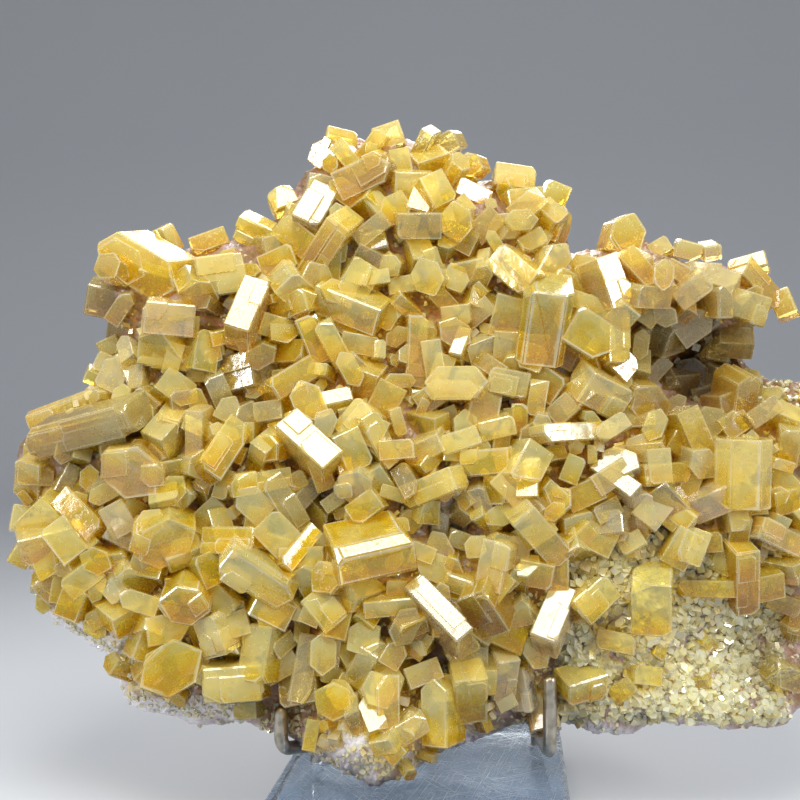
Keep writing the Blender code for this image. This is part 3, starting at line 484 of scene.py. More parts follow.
class Heap:
    """Faces of many crystals gathered for one mesh, with what their material reads."""

    def __init__(self):
        self.points = []
        self.faces = []
        self.rim = []
        self.own = []
        self.look = []

    def add(self, piece, axes, centre, look, own_shift):
        """Add a crystal, whose amber deepens from its outer, upper end down to its root, as colour zoning
        and as painted shade below with painted light on top.
        """
        first = len(self.points)
        rim = piece.verts.layers.float["rim"]
        piece.verts.index_update()
        heights = [(axes @ vert.co).dot(LIT_OUTER_WAY) for vert in piece.verts]
        low, high = min(heights), max(heights)
        amber, smoky, milky = look
        for vert, height in zip(piece.verts, heights):
            self.points.append(centre + axes @ vert.co)
            self.rim.append(vert[rim])
            self.own.append((vert.co + own_shift) * MM)
            deeper_and_shaded = AMBER_AND_SHADE_RISE * ((high - height) / (high - low) - 0.5)
            self.look.append((amber + deeper_and_shaded, smoky, milky))
        for face in piece.faces:
            self.faces.append([first + vert.index for vert in face.verts])

    def make(self, name, material):
        mesh = bpy.data.meshes.new(name)
        mesh.from_pydata([to_row(point) for point in self.points], [], self.faces)
        rim = mesh.attributes.new("rim", "FLOAT", "POINT")
        rim.data.foreach_set("value", self.rim)
        own = mesh.attributes.new("own", "FLOAT_VECTOR", "POINT")
        own.data.foreach_set("vector", [value for place in self.own for value in place])
        look = mesh.attributes.new("look", "FLOAT_VECTOR", "POINT")
        look.data.foreach_set("vector", [value for strengths in self.look for value in strengths])
        mesh.materials.append(material)
        mesh.update()
        made = bpy.data.objects.new(name, mesh)
        bpy.context.scene.collection.objects.link(made)
        return made


def crystal_faces(habit, length, width, thickness, chance):
    """Planes that cut a crystal out of its block: normal and distance from the centre."""
    u, v, w = Vector((1, 0, 0)), Vector((0, 1, 0)), Vector((0, 0, 1))
    cuts = []
    if habit == "rhomb":
        reach = 0.5 * length * math.cos(math.radians(PRISM_FROM_LENGTH))
        cuts += [(normal, reach) for normal in slope(PRISM_FROM_LENGTH, u, v)]
    if habit in ("hex", "house"):
        blunt = BLUNT_POINT * width
        reach = (0.5 * length - blunt) * math.cos(math.radians(PRISM_FROM_LENGTH)) + blunt
        ends = slope(PRISM_FROM_LENGTH, u, v)
        cuts += [(normal, reach) for normal in (ends if habit == "hex" else ends[:2])]
    if habit in ("bar", "flash", "house") and length * width > BEVELLED_FROM:
        share = chance.uniform(*BEVEL_REACH)
        reach = share * (
            0.5 * thickness * math.cos(math.radians(DOME_FROM_FLAT))
            + 0.5 * width * math.sin(math.radians(DOME_FROM_FLAT))
        )
        cuts += [(normal, reach) for normal in slope(DOME_FROM_FLAT, w, v)[:2]]
    if habit == "bar":
        end = slope(PRISM_FROM_LENGTH, u, v)[chance.randrange(4)]
        cuts.append((end, CORNER_REACH * (0.5 * length * abs(end.x) + 0.5 * width * abs(end.y))))
    return cuts


def chips(size, most, chance):
    """Planes that break a few corners off a block of this size, at odd angles."""
    cuts = []
    for _ in range(chance.randint(0, most)):
        corner = Vector([chance.choice((-0.5, 0.5)) * side for side in size])
        slopes = [math.copysign(chance.uniform(*CHIP_SLOPE), place) for place in corner]
        normal = Vector(slopes).normalized()
        cuts.append((normal, corner.dot(normal) - chance.uniform(*CHIP_DEPTH) * min(size)))
    return cuts


def cut_block(size, cuts):
    """A block of this size with its corners cut off by planes."""
    piece = bmesh.new()
    bmesh.ops.create_cube(piece, size=1.0)
    bmesh.ops.scale(piece, vec=size, verts=piece.verts)
    for normal, reach in cuts:
        everything = piece.verts[:] + piece.edges[:] + piece.faces[:]
        cut = bmesh.ops.bisect_plane(
            piece, geom=everything, dist=1e-4, plane_co=normal * reach, plane_no=normal, clear_outer=True
        )
        ring = [item for item in cut["geom_cut"] if isinstance(item, bmesh.types.BMEdge)]
        if len(ring) > 2:
            bmesh.ops.contextual_create(piece, geom=ring)
    bmesh.ops.recalc_face_normals(piece, faces=piece.faces)
    return piece


def finish_edges(piece, edge, band, chance):
    """Break the sharp edges and mark a pale band along them, unevenly; the same mark lays a painted
    highlight on the bevels.
    """
    bmesh.ops.bevel(
        piece, geom=piece.edges[:], offset=edge, segments=1, affect="EDGES", clamp_overlap=True
    )
    rim = piece.verts.layers.float.new("rim")
    for vert in piece.verts:
        vert[rim] = chance.uniform(*EDGE_PALENESS_AND_GLEAM)
    for face in piece.faces[:]:
        area = face.calc_area()
        if area < LEAST_BAND_FACE:
            continue
        inradius = 2 * area / sum(side.calc_length() for side in face.edges)
        thickness = min(band, BAND_IN_FACE * inradius)
        bmesh.ops.inset_individual(
            piece, faces=[face], thickness=thickness, depth=0.0, use_even_offset=True
        )
        for vert in face.verts:
            vert[rim] = 0.0


def look_at_place(x, z, chance):
    """How amber, smoky and milky a crystal is, with painted shade and painted highlight from the spots at
    its place.
    """
    look = [chance.uniform(*AMBER_RANGE), 0.0, max(0.0, chance.uniform(*MILKY_RANGE))]
    if chance.random() < SMOKY_SHARE:
        look[1] = chance.uniform(*SMOKY_RANGE)
    for spot_x, spot_z, radius, *strengths in COLOUR_AND_PAINTED_LIGHT_SPOTS:
        near = math.exp(-((x - spot_x) ** 2 + (z - spot_z) ** 2) / radius ** 2)
        for index, strength in enumerate(strengths):
            look[index] = max(look[index], strength * near)
    return (look[0], look[1], look[2])


def random_shift(chance):
    """Where in the pattern of the material a crystal lies, in mm."""
    return Vector([chance.uniform(-PATTERN_REACH, PATTERN_REACH) for _ in range(3)])


def flash_axes(x, y, z, turn):
    """Axes that turn a crystal's broad face to mirror the key light to the viewer."""
    place = along_sight(x, y, z)
    broad = ((EYE - place).normalized() + (FLASH_LIGHT - place).normalized()).normalized()
    turn = math.radians(turn)
    return upright_on(broad, Vector((math.cos(turn), 0.0, math.sin(turn))))


def twins(habit, length, width, thick, chance):
    """Blocks grown in parallel with a crystal, which make steps on its faces and ends: offset,
    size and cuts."""
    blocks = []
    for _ in range(chance.choice(TWIN_COUNTS) if length * width > TWINNED_FROM else 0):
        sides = zip((length, width, thick), TWIN_SHARES)
        size = Vector([side * chance.uniform(*shares) for side, shares in sides])
        offset = Vector((
            chance.choice((-1, 1)) * (length - size.x) / 2 * chance.uniform(*TWIN_ENDWAYS),
            chance.choice((-1, 1)) * (width - size.y) / 2 * chance.uniform(*TWIN_SIDEWAYS),
            (thick - size.z) / 2,
        ))
        proud = [chance.uniform(*reach) for reach in TWIN_PROUD]
        offset += Vector((
            math.copysign(proud[0], offset.x), math.copysign(proud[1], offset.y), proud[2],
        ))
        blocks.append((offset, size, crystal_faces(habit, *size, chance)))
    return blocks


def add_landmark(heap, row, edge):
    """One of the larger crystals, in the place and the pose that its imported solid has."""
    x, z, length, width, turn, habit, lift = row
    chance = random.Random(f"{SEED} {x} {z}")
    surface = front_depth(x, z)
    if habit == "flash":
        axes = flash_axes(x, surface - lift, z, turn)
    else:
        axes = facing(turn, chance.uniform(*YAW), chance.uniform(*PITCH))
    nearer = CRYSTAL_SHARE * (VIEW_DISTANCE + surface - lift) / VIEW_DISTANCE
    long_side = nearer * length / max(MOST_FORESHORTENED, math.hypot(axes[0][0], axes[2][0]))
    width *= nearer
    proud = width * THICKNESS.get(habit, chance.uniform(*BAR_THICKNESS))
    top = lift + PROUD_SHARE * proud
    thick = max(proud, top + ROOT)
    centre = along_sight(x, surface - top, z) - axes.col[2] * thick / 2
    cuts = crystal_faces(habit, long_side, width, thick, chance)
    look = look_at_place(x, z, chance)
    own_shift = random_shift(chance)
    blocks = [(Vector(), Vector((long_side, width, thick)), cuts)]
    blocks += twins(habit, long_side, width, thick, chance)
    for offset, size, cuts in blocks:
        piece = cut_block(size, cuts + chips(size, MOST_CHIPS["large"], chance))
        finish_edges(piece, edge, PALE_BAND * min(size.x, size.y), chance)
        heap.add(piece, axes, centre + axes @ offset, look, own_shift + offset)
        piece.free()


# The matrix

MATRIX_STEP = 6.0
BACK_STEP = 9.0
MATRIX_RIM_STEP = 5.0
MATRIX_CUTS = 3
GRID_JITTER = 0.2
RIM_BULGE = 3.0


def rim_points():
    """The outline with its long sides cut into shorter ones."""
    points = []
    last = Vector(OUTLINE[-1])
    for corner in OUTLINE:
        corner = Vector(corner)
        parts = max(1, round((corner - last).length / MATRIX_RIM_STEP))
        for step in range(1, parts + 1):
            points.append(last.lerp(corner, step / parts))
        last = corner
    return points


def inner_points(step):
    """A loose triangular grid of points inside the outline."""
    chance = random.Random(SEED)
    points = []
    left, right = min(x for x, z in OUTLINE), max(x for x, z in OUTLINE)
    low, high = min(z for x, z in OUTLINE), max(z for x, z in OUTLINE)
    row_step = step * math.sin(math.radians(60))
    for row in range(int((high - low) / row_step) + 1):
        for column in range(int((right - left) / step) + 1):
            spot = Vector((left + (column + row % 2 / 2) * step, low + row * row_step))
            spot.x += chance.uniform(-GRID_JITTER, GRID_JITTER) * step
            spot.y += chance.uniform(-GRID_JITTER, GRID_JITTER) * step
            if edge_distance(spot.x, spot.y) > step / 2:
                points.append(spot)
    return points


def add_sheet(bm, rim, step, depth_at, flip):
    """One side of the matrix over the outline; returns its points along the rim."""
    edges = [(i, (i + 1) % len(rim)) for i in range(len(rim))]
    flat = delaunay_2d_cdt(rim + inner_points(step), edges, [], 1, 0.01)
    rim_of = {}
    verts = []
    for new, spot in enumerate(flat[0]):
        x, z = spot
        verts.append(bm.verts.new(depth_at(x, z)))
        for old in flat[3][new]:
            if old < len(rim):
                rim_of[old] = verts[-1]
    for face in flat[2]:
        order = reversed(face) if flip else face
        bm.faces.new([verts[i] for i in order])
    return [rim_of[i] for i in range(len(rim))]


def front_place(x, z):
    return along_sight(x, front_depth(x, z), z)


def back_place(x, z):
    middle = along_sight(x, middle_depth(x, z), z)
    return Vector((middle.x, back_depth(x, z), middle.z))


# Roughness of the matrix, in mm: size and height of its lumps, bumps, granules and small facets
LUMPS = (21.0, 3.2)
BUMPS = (8.0, 1.7)
GRANULES = (4.2, 1.7)
FACETS = (1.9, 0.8)
BUMPS_SHIFT = Vector((7, 0, 0))


def grain(place):
    """How far the rough surface stands out at a place."""
    rough = LUMPS[1] * noise.noise(place / LUMPS[0])
    rough += BUMPS[1] * noise.noise(place / BUMPS[0] + BUMPS_SHIFT)
    for size, height in (GRANULES, FACETS):
        cells = noise.voronoi(place / size)[0]
        rough += height * (cells[1] - cells[0])
    return rough


def matrix_mesh():
    """The rough plate that the crystals grow from, front, back and rim in one closed surface."""
    rim = rim_points()
    bm = bmesh.new()
    front = add_sheet(bm, rim, MATRIX_STEP, front_place, False)
    back = add_sheet(bm, rim, BACK_STEP, back_place, True)
    middle = []
    for index, (spot, fore, aft) in enumerate(zip(rim, front, back)):
        before, after = rim[index - 1], rim[(index + 1) % len(rim)]
        outwards = Vector((-(after - before).y, (after - before).x)).normalized() * RIM_BULGE
        place = fore.co.lerp(aft.co, 0.5) + Vector((outwards.x, 0.0, outwards.y))
        middle.append(bm.verts.new(place))
    for index in range(len(rim)):
        after = (index + 1) % len(rim)
        bm.faces.new([front[index], front[after], middle[after], middle[index]])
        bm.faces.new([middle[index], middle[after], back[after], back[index]])
    bmesh.ops.triangulate(bm, faces=[face for face in bm.faces if len(face.verts) == 4])
    bmesh.ops.subdivide_edges(bm, edges=bm.edges[:], cuts=MATRIX_CUTS, use_grid_fill=True)
    bmesh.ops.recalc_face_normals(bm, faces=bm.faces)
    for _ in range(2):
        bmesh.ops.smooth_vert(
            bm, verts=bm.verts, factor=0.5, use_axis_x=True, use_axis_y=True, use_axis_z=True
        )
    bm.normal_update()
    moves = [vert.normal * grain(vert.co) for vert in bm.verts]
    for vert, move in zip(bm.verts, moves):
        vert.co += move
    return bm


# How brown the matrix is in the gaps between crystals, where the brown is painted shade as well as dirt, and
# over its back, and how much a white crust takes from it
GAP_SHADE_AND_DIRT = 1.0
BACK_DIRT = 0.45
CRUST_OVER_SHADE_AND_DIRT = 1.4


def stained_and_shaded(bm):
    """How brown and how white the matrix is at each of its points; the brown over its front is partly
    painted shade in the gaps between crystals.
    """
    brown = []
    white = []
    for vert in bm.verts:
        reach = VIEW_DISTANCE / (VIEW_DISTANCE + vert.co.y)
        x, z = vert.co.x * reach, vert.co.z * reach
        # Painted shade: the front, seen in the gaps between crystals, is browned all over
        shade_and_dirt = GAP_SHADE_AND_DIRT if vert.co.y < middle_depth(x, z) else BACK_DIRT
        white.append(min(1.0, blobs_at(STAINS_AND_SHADE, x, z, 5)))
        shade_and_dirt *= 1.0 - CRUST_OVER_SHADE_AND_DIRT * white[-1]
        brown.append(min(1.0, max(blobs_at(STAINS_AND_SHADE, x, z, 4), shade_and_dirt)))
    return brown, white


# Small crystals and druse

# Runs of small crystals: spacing, shortest and longest length, greatest rise, share of the tries
SMALL_RUNS = [(8.5, 12.0, 19.0, 9.0, 0.5), (5.2, 6.0, 12.0, 7.0, 0.5)]
SMALL_WIDTH = (0.45, 0.8)
SMALL_THICKNESS = (0.7, 1.0)
SMALL_SPREAD = 0.33
SMALL_FACING = (0.5, 0.8)
SMALL_LEAST_RISE = 0.5
SMALL_ROOT = 1.0
SMALL_REACH = 0.6
SMALL_HABITS = ("bar", "bar", "bar", "house", "hex", "rhomb", "stub")
TURNED_SHARE = 0.75
BEVELLED_SMALL = 8.0
SMALL_EDGES = (0.36, 0.22)
LEAST_INSIDE = 2.5
SHARD_TRIES = 5200
SHARD_SPACING = 2.9
SHARD_SIZE = (1.8, 5.5)
SHARD_RISE = 4.5
SHARD_SPREAD = 0.8
SHARD_MILKY = (0.0, 0.5)

# Part of the view where small crystals are tried, and the size of the cells they are sorted into
TRIED_X = (-178, 188)
TRIED_Z = (-172, 122)
CELL = 12
LANDMARK_REACH = 0.3

# Where few small crystals grow: x, z, half width, half height, share of the tries that fail
BARE_FIELDS = [
    (-150, -112, 30, 26, 1.0), (-20, -162, 60, 12, 1.0), (140, -140, 60, 14, 1.0),
    (-85, -140, 40, 9, 1.2), (120, -112, 62, 42, 2.2), (-45, -98, 10, 8, 0.6),
]


def rod_lines():
    """The middle lines of the two prongs, in the view."""
    lines = []
    for prong in (LEFT_PRONG, RIGHT_PRONG):
        route = [from_row(corner) for corner in prong_corners(prong)]
        lines += list(zip(route, route[1:]))
    return lines


def clear_of_rods(place, reach, lines):
    """Whether a crystal of this reach leaves the prongs free."""
    for start, end in lines:
        side = end - start
        share = min(max((place - start).dot(side) / side.length_squared, 0.0), 1.0)
        if (place - start - side * share).length < ROD / 2 + reach:
            return False
    return True


def random_turn(chance, spread):
    return Vector([chance.gauss(0.0, spread) for _ in range(3)])


def seen_spot(surface, x, z):
    """Where the line of sight through a reading on the reference plane meets the matrix."""
    sight = (Vector((x, 0.0, z)) - EYE).normalized()
    return surface.ray_cast(EYE, sight)[:2]


def small_places(surface, count, spacing, cells, chance):
    """Places for small crystals between those already there: reading, point and normal."""
    found = []
    for _ in range(count):
        x, z = chance.uniform(*TRIED_X), chance.uniform(*TRIED_Z)
        bare = blobs_at(BARE_FIELDS, x, z)
        if chance.random() < bare or edge_distance(x, z) <= LEAST_INSIDE:
            continue
        near = [
            spot for across in (-1, 0, 1) for up in (-1, 0, 1)
            for spot in cells.get((x // CELL + across, z // CELL + up), [])
        ]
        if any(math.hypot(x - at_x, z - at_z) < reach for at_x, at_z, reach in near):
            continue
        place, normal = seen_spot(surface, x, z)
        if place is None:
            continue
        cells.setdefault((x // CELL, z // CELL), []).append((x, z, spacing))
        found.append((x, z, place, normal))
    return found


def add_small(heap, spot, shortest, longest, highest, chance, lines):
    """A small crystal rooted in the matrix, turned loosely away from it."""
    x, z, place, normal = spot
    length = chance.uniform(shortest, longest)
    width = length * chance.uniform(*SMALL_WIDTH)
    rise = chance.uniform(SMALL_LEAST_RISE, highest)
    thick = width * chance.uniform(*SMALL_THICKNESS) + rise + SMALL_ROOT
    to_eye = (EYE - place).normalized()
    broad = normal * SMALL_FACING[0] + to_eye * SMALL_FACING[1] + random_turn(chance, SMALL_SPREAD)
    broad.normalize()
    mirror = (to_eye + (FLASH_LIGHT - place).normalized()).normalized()
    if broad.dot(mirror) > NEAR_MIRROR and chance.random() < TURNED_SHARE:
        broad = (broad + AWAY_FROM_LIGHT).normalized()
    turn = chance.uniform(0.0, math.pi)
    axes = upright_on(broad, Vector((math.cos(turn), 0.0, math.sin(turn))))
    centre = place + broad * (rise + 0.5 * width - thick / 2)
    if not clear_of_rods(centre, SMALL_REACH * length, lines):
        return
    habit = chance.choice(SMALL_HABITS)
    size = (length, width, thick)
    cuts = crystal_faces(habit, *size, chance)
    piece = cut_block(size, cuts + chips(size, MOST_CHIPS["small"], chance))
    edge = SMALL_EDGES[0] if length > BEVELLED_SMALL else SMALL_EDGES[1]
    finish_edges(piece, edge, PALE_BAND * width, chance)
    look = look_at_place(x, z, chance)
    heap.add(piece, axes, centre, look, random_shift(chance))
    piece.free()


def add_shard(heap, spot, chance, lines):
    """A broken chip of crystal, wedged between the others."""
    x, z, place, normal = spot
    size = [chance.uniform(*SHARD_SIZE) for _ in range(3)]
    piece = cut_block(size, chips(size, MOST_CHIPS["shard"], chance))
    # The whole shard is marked as edge, so the painted edge highlight lies all over it
    rim = piece.verts.layers.float.new("rim")
    for vert in piece.verts:
        vert[rim] = chance.uniform(*EDGE_PALENESS_AND_GLEAM)
    broad = (normal + random_turn(chance, SHARD_SPREAD)).normalized()
    axes = upright_on(broad, random_turn(chance, 1.0))
    centre = place + normal * chance.uniform(0.0, SHARD_RISE)
    if clear_of_rods(centre, max(size), lines):
        amber, smoky, milky = look_at_place(x, z, chance)
        look = (amber, smoky, milky + chance.uniform(*SHARD_MILKY))
        heap.add(piece, axes, centre, look, random_shift(chance))
    piece.free()


# Shapes that the druse repeats: habit, then width and thickness as shares of the length
DRUSE_SHAPES = [("house", 0.62, 0.5), ("rhomb", 0.8, 0.45), ("hex", 0.7, 0.6), ("bar", 0.55, 0.5)]
# Edge mark of every grain of druse, which gives it a faint painted highlight
DRUSE_RIM = 0.6
DRUSE_SPREAD = 0.5
DRUSE_RISE = 0.15

# How amber, smoky and milky a grain of druse may be; below 0 counts as 0 for the last two
DRUSE_AMBER = (-0.6, 0.8)
DRUSE_SMOKY = (-0.6, 0.5)
DRUSE_MILKY = (-0.6, 0.6)

# How much of a stain's white and brown a grain of druse over it takes on; the brown includes the painted
# shade of the recess under the right lobe
WHITE_TAKEN = (0.4, 1.2)
BROWN_TAKEN = (0.2, 1.0)


def druse_shapes():
    """A few tiny crystal shapes of unit length that the druse repeats."""
    chance = random.Random(DRUSE_SEED)
    shapes = []
    for habit, width, thick in DRUSE_SHAPES:
        piece = cut_block((1.0, width, thick), crystal_faces(habit, 1.0, width, thick, chance))
        bmesh.ops.triangulate(piece, faces=piece.faces)
        rim = piece.verts.layers.float.new("rim")
        for vert in piece.verts:
            vert[rim] = DRUSE_RIM
        shapes.append(piece)
    return shapes


def add_druse(heap, shapes, place, normal, size, look, chance):
    broad = (normal + random_turn(chance, DRUSE_SPREAD)).normalized()
    along = Vector([chance.uniform(-1, 1) for _ in range(3)])
    axes = upright_on(broad, along) @ Matrix.Scale(size, 3)
    own_shift = random_shift(chance)
    heap.add(chance.choice(shapes), axes, place + normal * DRUSE_RISE * size, look, own_shift)


def druse_look(chance):
    amber = chance.uniform(*DRUSE_AMBER)
    smoky = max(0.0, chance.uniform(*DRUSE_SMOKY))
    return (amber, smoky, max(0.0, chance.uniform(*DRUSE_MILKY)))


def front_druse(heap, shapes, surface, lines):
    chance = random.Random(DRUSE_SEED)
    for at_x, at_z, half_width, half_height, count, least, most in DRUSE_FIELDS:
        for _ in range(count):
            x = at_x + chance.uniform(-1, 1) * half_width
            z = at_z + chance.uniform(-1, 1) * half_height
            size = chance.uniform(least, most)
            place, normal = seen_spot(surface, x, z)
            if place is not None and clear_of_rods(place, size, lines):
                amber, smoky, milky = druse_look(chance)
                white = min(1.0, blobs_at(STAINS_AND_SHADE, x, z, 5)) ** 2 * chance.uniform(*WHITE_TAKEN)
                brown = min(1.0, blobs_at(STAINS_AND_SHADE, x, z, 4)) * chance.uniform(*BROWN_TAKEN)
                look = (amber, max(smoky, brown) * max(0.0, 1.0 - white), max(milky - brown, white))
                add_druse(heap, shapes, place, normal, size, look, chance)


# Sugary grains: how many places are tried, how wide their band is and how high up it ends
SUGAR_TRIES = 13200
SUGAR_BAND = 11.0
SUGAR_X = (-180, 182)
SUGAR_Z = (-174, 20)
SUGAR_SIZE = (0.9, 2.6)
SUGAR_MILKY = (0.7, 1.3)


def rim_sugar(heap, shapes, surface, lines):
    """White sugary grains along the bare edge of the matrix."""
    chance = random.Random(SUGAR_SEED)
    for _ in range(SUGAR_TRIES):
        x, z = chance.uniform(*SUGAR_X), chance.uniform(*SUGAR_Z)
        inside = edge_distance(x, z)
        if inside <= 0.0 or inside > SUGAR_BAND * chance.random():
            continue
        place, normal = seen_spot(surface, x, z)
        size = chance.uniform(*SUGAR_SIZE)
        if place is not None and clear_of_rods(place, size, lines):
            look = (0.0, 0.0, chance.uniform(*SUGAR_MILKY))
            add_druse(heap, shapes, place, normal, size, look, chance)


# Druse behind: how many places are tried, over what part of the view and in patches of what size
BACK_TRIES = 1500
BACK_X = (-190, 190)
BACK_Z = (-180, 130)
BACK_PATCH = 35.0
BACK_SIZE = (1.5, 5.0)
BEHIND = 300.0


def back_druse(heap, shapes, surface):
    """Sparse patches of druse on the broken back and the rim."""
    chance = random.Random(BACK_SEED)
    for _ in range(BACK_TRIES):
        x, z = chance.uniform(*BACK_X), chance.uniform(*BACK_Z)
        if noise.noise(Vector((x / BACK_PATCH, 0.0, z / BACK_PATCH))) < 0.0:
            continue
        place, normal = surface.ray_cast(Vector((x, BEHIND, z)), Vector((0.0, -1.0, 0.0)))[:2]
        if place is not None:
            size = chance.uniform(*BACK_SIZE)
            add_druse(heap, shapes, place, normal, size, druse_look(chance), chance)


# Rods

ROD_SIDES = 28


def rounded_route(corners):
    """The corners of a bent rod with an arc at each inner one."""
    route = [Vector(corners[0])]
    for before, corner, after in zip(corners, corners[1:], corners[2:]):
        corner = Vector(corner)
        back = (Vector(before) - corner).normalized()
        ahead = (Vector(after) - corner).normalized()
        half = back.angle(ahead) / 2
        start = corner + back * (BEND_RADIUS / math.tan(half))
        end = corner + ahead * (BEND_RADIUS / math.tan(half))
        centre = corner + (back + ahead).normalized() * (BEND_RADIUS / math.sin(half))
        for step in range(POINTS_PER_BEND):
            share = step / (POINTS_PER_BEND - 1)
            outwards = (start - centre).slerp(end - centre, share).normalized()
            route.append(centre + outwards * BEND_RADIUS)
    route.append(Vector(corners[-1]))
    return route


def prong_corners(prong):
    """A prong from its rounded top down, in and back over the block, then down into its hole."""
    x, y, top, hole_x, hole_y = prong
    foot = BLOCK_HEIGHT - HOLE_DEPTH + HOLE_CLEARANCE
    return [(x, y, top), (x, y, PRONG_FOOT), (hole_x, hole_y, LEG_END), (hole_x, hole_y, foot)]


def post_corners(surface):
    """The post's corners from where it meets the back of the matrix, down to its hole."""
    x, y = POST_HOLE
    start = from_row((x, y, POST_HEIGHT))
    forwards = from_row((x, y - 1.0, POST_HEIGHT)) - start
    touch = surface.ray_cast(start, forwards)[3]
    foot = BLOCK_HEIGHT - HOLE_DEPTH + HOLE_CLEARANCE
    return [(x, y - touch, POST_HEIGHT), (x, y, POST_HEIGHT), (x, y, foot)]


def make_rod(name, corners, material):
    """A bent round rod with a rounded first end."""
    route = rounded_route(corners)
    inwards = (route[1] - route[0]).normalized() * ROD / 2
    stations = [(route[0] + inwards * along, width) for along, width in ROD_NOSE]
    stations += [(place, 1.0) for place in route[1:]]
    bm = bmesh.new()
    side = inwards.orthogonal().normalized()
    rings = []
    for index, (place, width) in enumerate(stations):
        after = stations[min(index + 1, len(stations) - 1)][0]
        before = stations[max(index - 1, 0)][0]
        along = (after - before).normalized()
        side = (side - along * side.dot(along)).normalized()
        across = along.cross(side)
        ring = []
        for step in range(ROD_SIDES):
            angle = 2 * math.pi * step / ROD_SIDES
            out = side * math.cos(angle) + across * math.sin(angle)
            ring.append(bm.verts.new((place + out * width * ROD / 2) * MM))
        rings.append(ring)
    for first, second in zip(rings, rings[1:]):
        for step in range(ROD_SIDES):
            after = (step + 1) % ROD_SIDES
            bm.faces.new([first[step], first[after], second[after], second[step]])
    bm.faces.new(rings[0])
    bm.faces.new(rings[-1])
    bmesh.ops.recalc_face_normals(bm, faces=bm.faces)
    made = new_object(name, bm, material)
    made.data.shade_smooth()
    return made


def new_object(name, bm, material):
    mesh = bpy.data.meshes.new(name)
    bm.to_mesh(mesh)
    bm.free()
    mesh.materials.append(material)
    made = bpy.data.objects.new(name, mesh)
    bpy.context.scene.collection.objects.link(made)
    return made


# Materials

BARITE_IOR = 1.64
ACRYLIC_IOR = 1.49
# Painted highlight laid on the bevelled edges of the crystals
EDGE_GLEAM = (1.0, 0.95, 0.66, 1.0)

# Colour of the light that falls through barite
BARITE_SHADE = (0.82, 0.68, 0.14)

# Colours of the druse in place of the crystals' own
DRUSE_COLOURS = {
    "Honey": (0.86, 0.86, 0.42), "Amber": (0.72, 0.62, 0.20), "Straw": (0.88, 0.92, 0.76),
}

# Turns of the scratches on the block, in degrees, and how many run side by side in a metre
SCRATCHES = ((8.0, 2600.0), (52.0, 2100.0), (101.0, 2900.0), (-33.0, 2400.0))

# Depth of each bump map, in metres
BARITE_RELIEF = 0.0009
MATRIX_RELIEF = 0.0006
METAL_RELIEF = 0.0001
SCRATCH_RELIEF = 0.0001

# Darkest spots, as shares of the plain colour
METAL_DARK = 0.6
FLOOR_DARK = 0.94


def put(tree, kind, inputs=None, **settings):
    """A node with its settings, its sockets linked to other nodes or set to values."""
    made = tree.nodes.new(kind)
    for name, value in settings.items():
        setattr(made, name, value)
    for name, value in (inputs or {}).items():
        socket = made.inputs[name]
        if isinstance(value, bpy.types.NodeSocket):
            tree.links.new(value, socket)
        elif socket.type == "RGBA" and len(value) == 3:
            socket.default_value = (*value, 1.0)
        else:
            socket.default_value = value
    return made


def mix(tree, share, first, second, blend="MIX"):
    return put(
        tree, "ShaderNodeMix", {0: share, 6: first, 7: second}, data_type="RGBA", blend_type=blend
    ).outputs[2]


def sum_of(tree, operation, first, second=0.0, third=0.0):
    return put(tree, "ShaderNodeMath", {0: first, 1: second, 2: third}, operation=operation).outputs[0]


def between(tree, value, low, high, to_low=0.0, to_high=1.0):
    """A value brought from one range to another and held inside it."""
    ramp = {"Value": value, "From Min": low, "From Max": high, "To Min": to_low, "To Max": to_high}
    return put(tree, "ShaderNodeMapRange", ramp, interpolation_type="SMOOTHSTEP").outputs[0]


def noise_at(tree, place, scale, detail=2.0, stretch=(1, 1, 1), distortion=0.0):
    """Noise over a place, with features of 1 / scale metres, stretched along its axes."""
    moved = put(tree, "ShaderNodeMapping", {"Vector": place, "Scale": stretch}).outputs[0]
    inputs = {"Vector": moved, "Scale": scale, "Detail": detail, "Distortion": distortion}
    return put(tree, "ShaderNodeTexNoise", inputs).outputs["Fac"]


def attribute(tree, name):
    return put(tree, "ShaderNodeAttribute", attribute_name=name)


def new_group(name, inputs, outputs):
    """An empty node group with named sockets: name, kind and default of each input."""
    group = bpy.data.node_groups.new(name, "ShaderNodeTree")
    for label, kind, default in inputs:
        socket = group.interface.new_socket(label, in_out="INPUT", socket_type=kind)
        socket.default_value = (*default, 1.0) if kind == "NodeSocketColor" else default
    for label, kind in outputs:
        group.interface.new_socket(label, in_out="OUTPUT", socket_type=kind)
    return group, group.nodes.new("NodeGroupInput"), group.nodes.new("NodeGroupOutput")


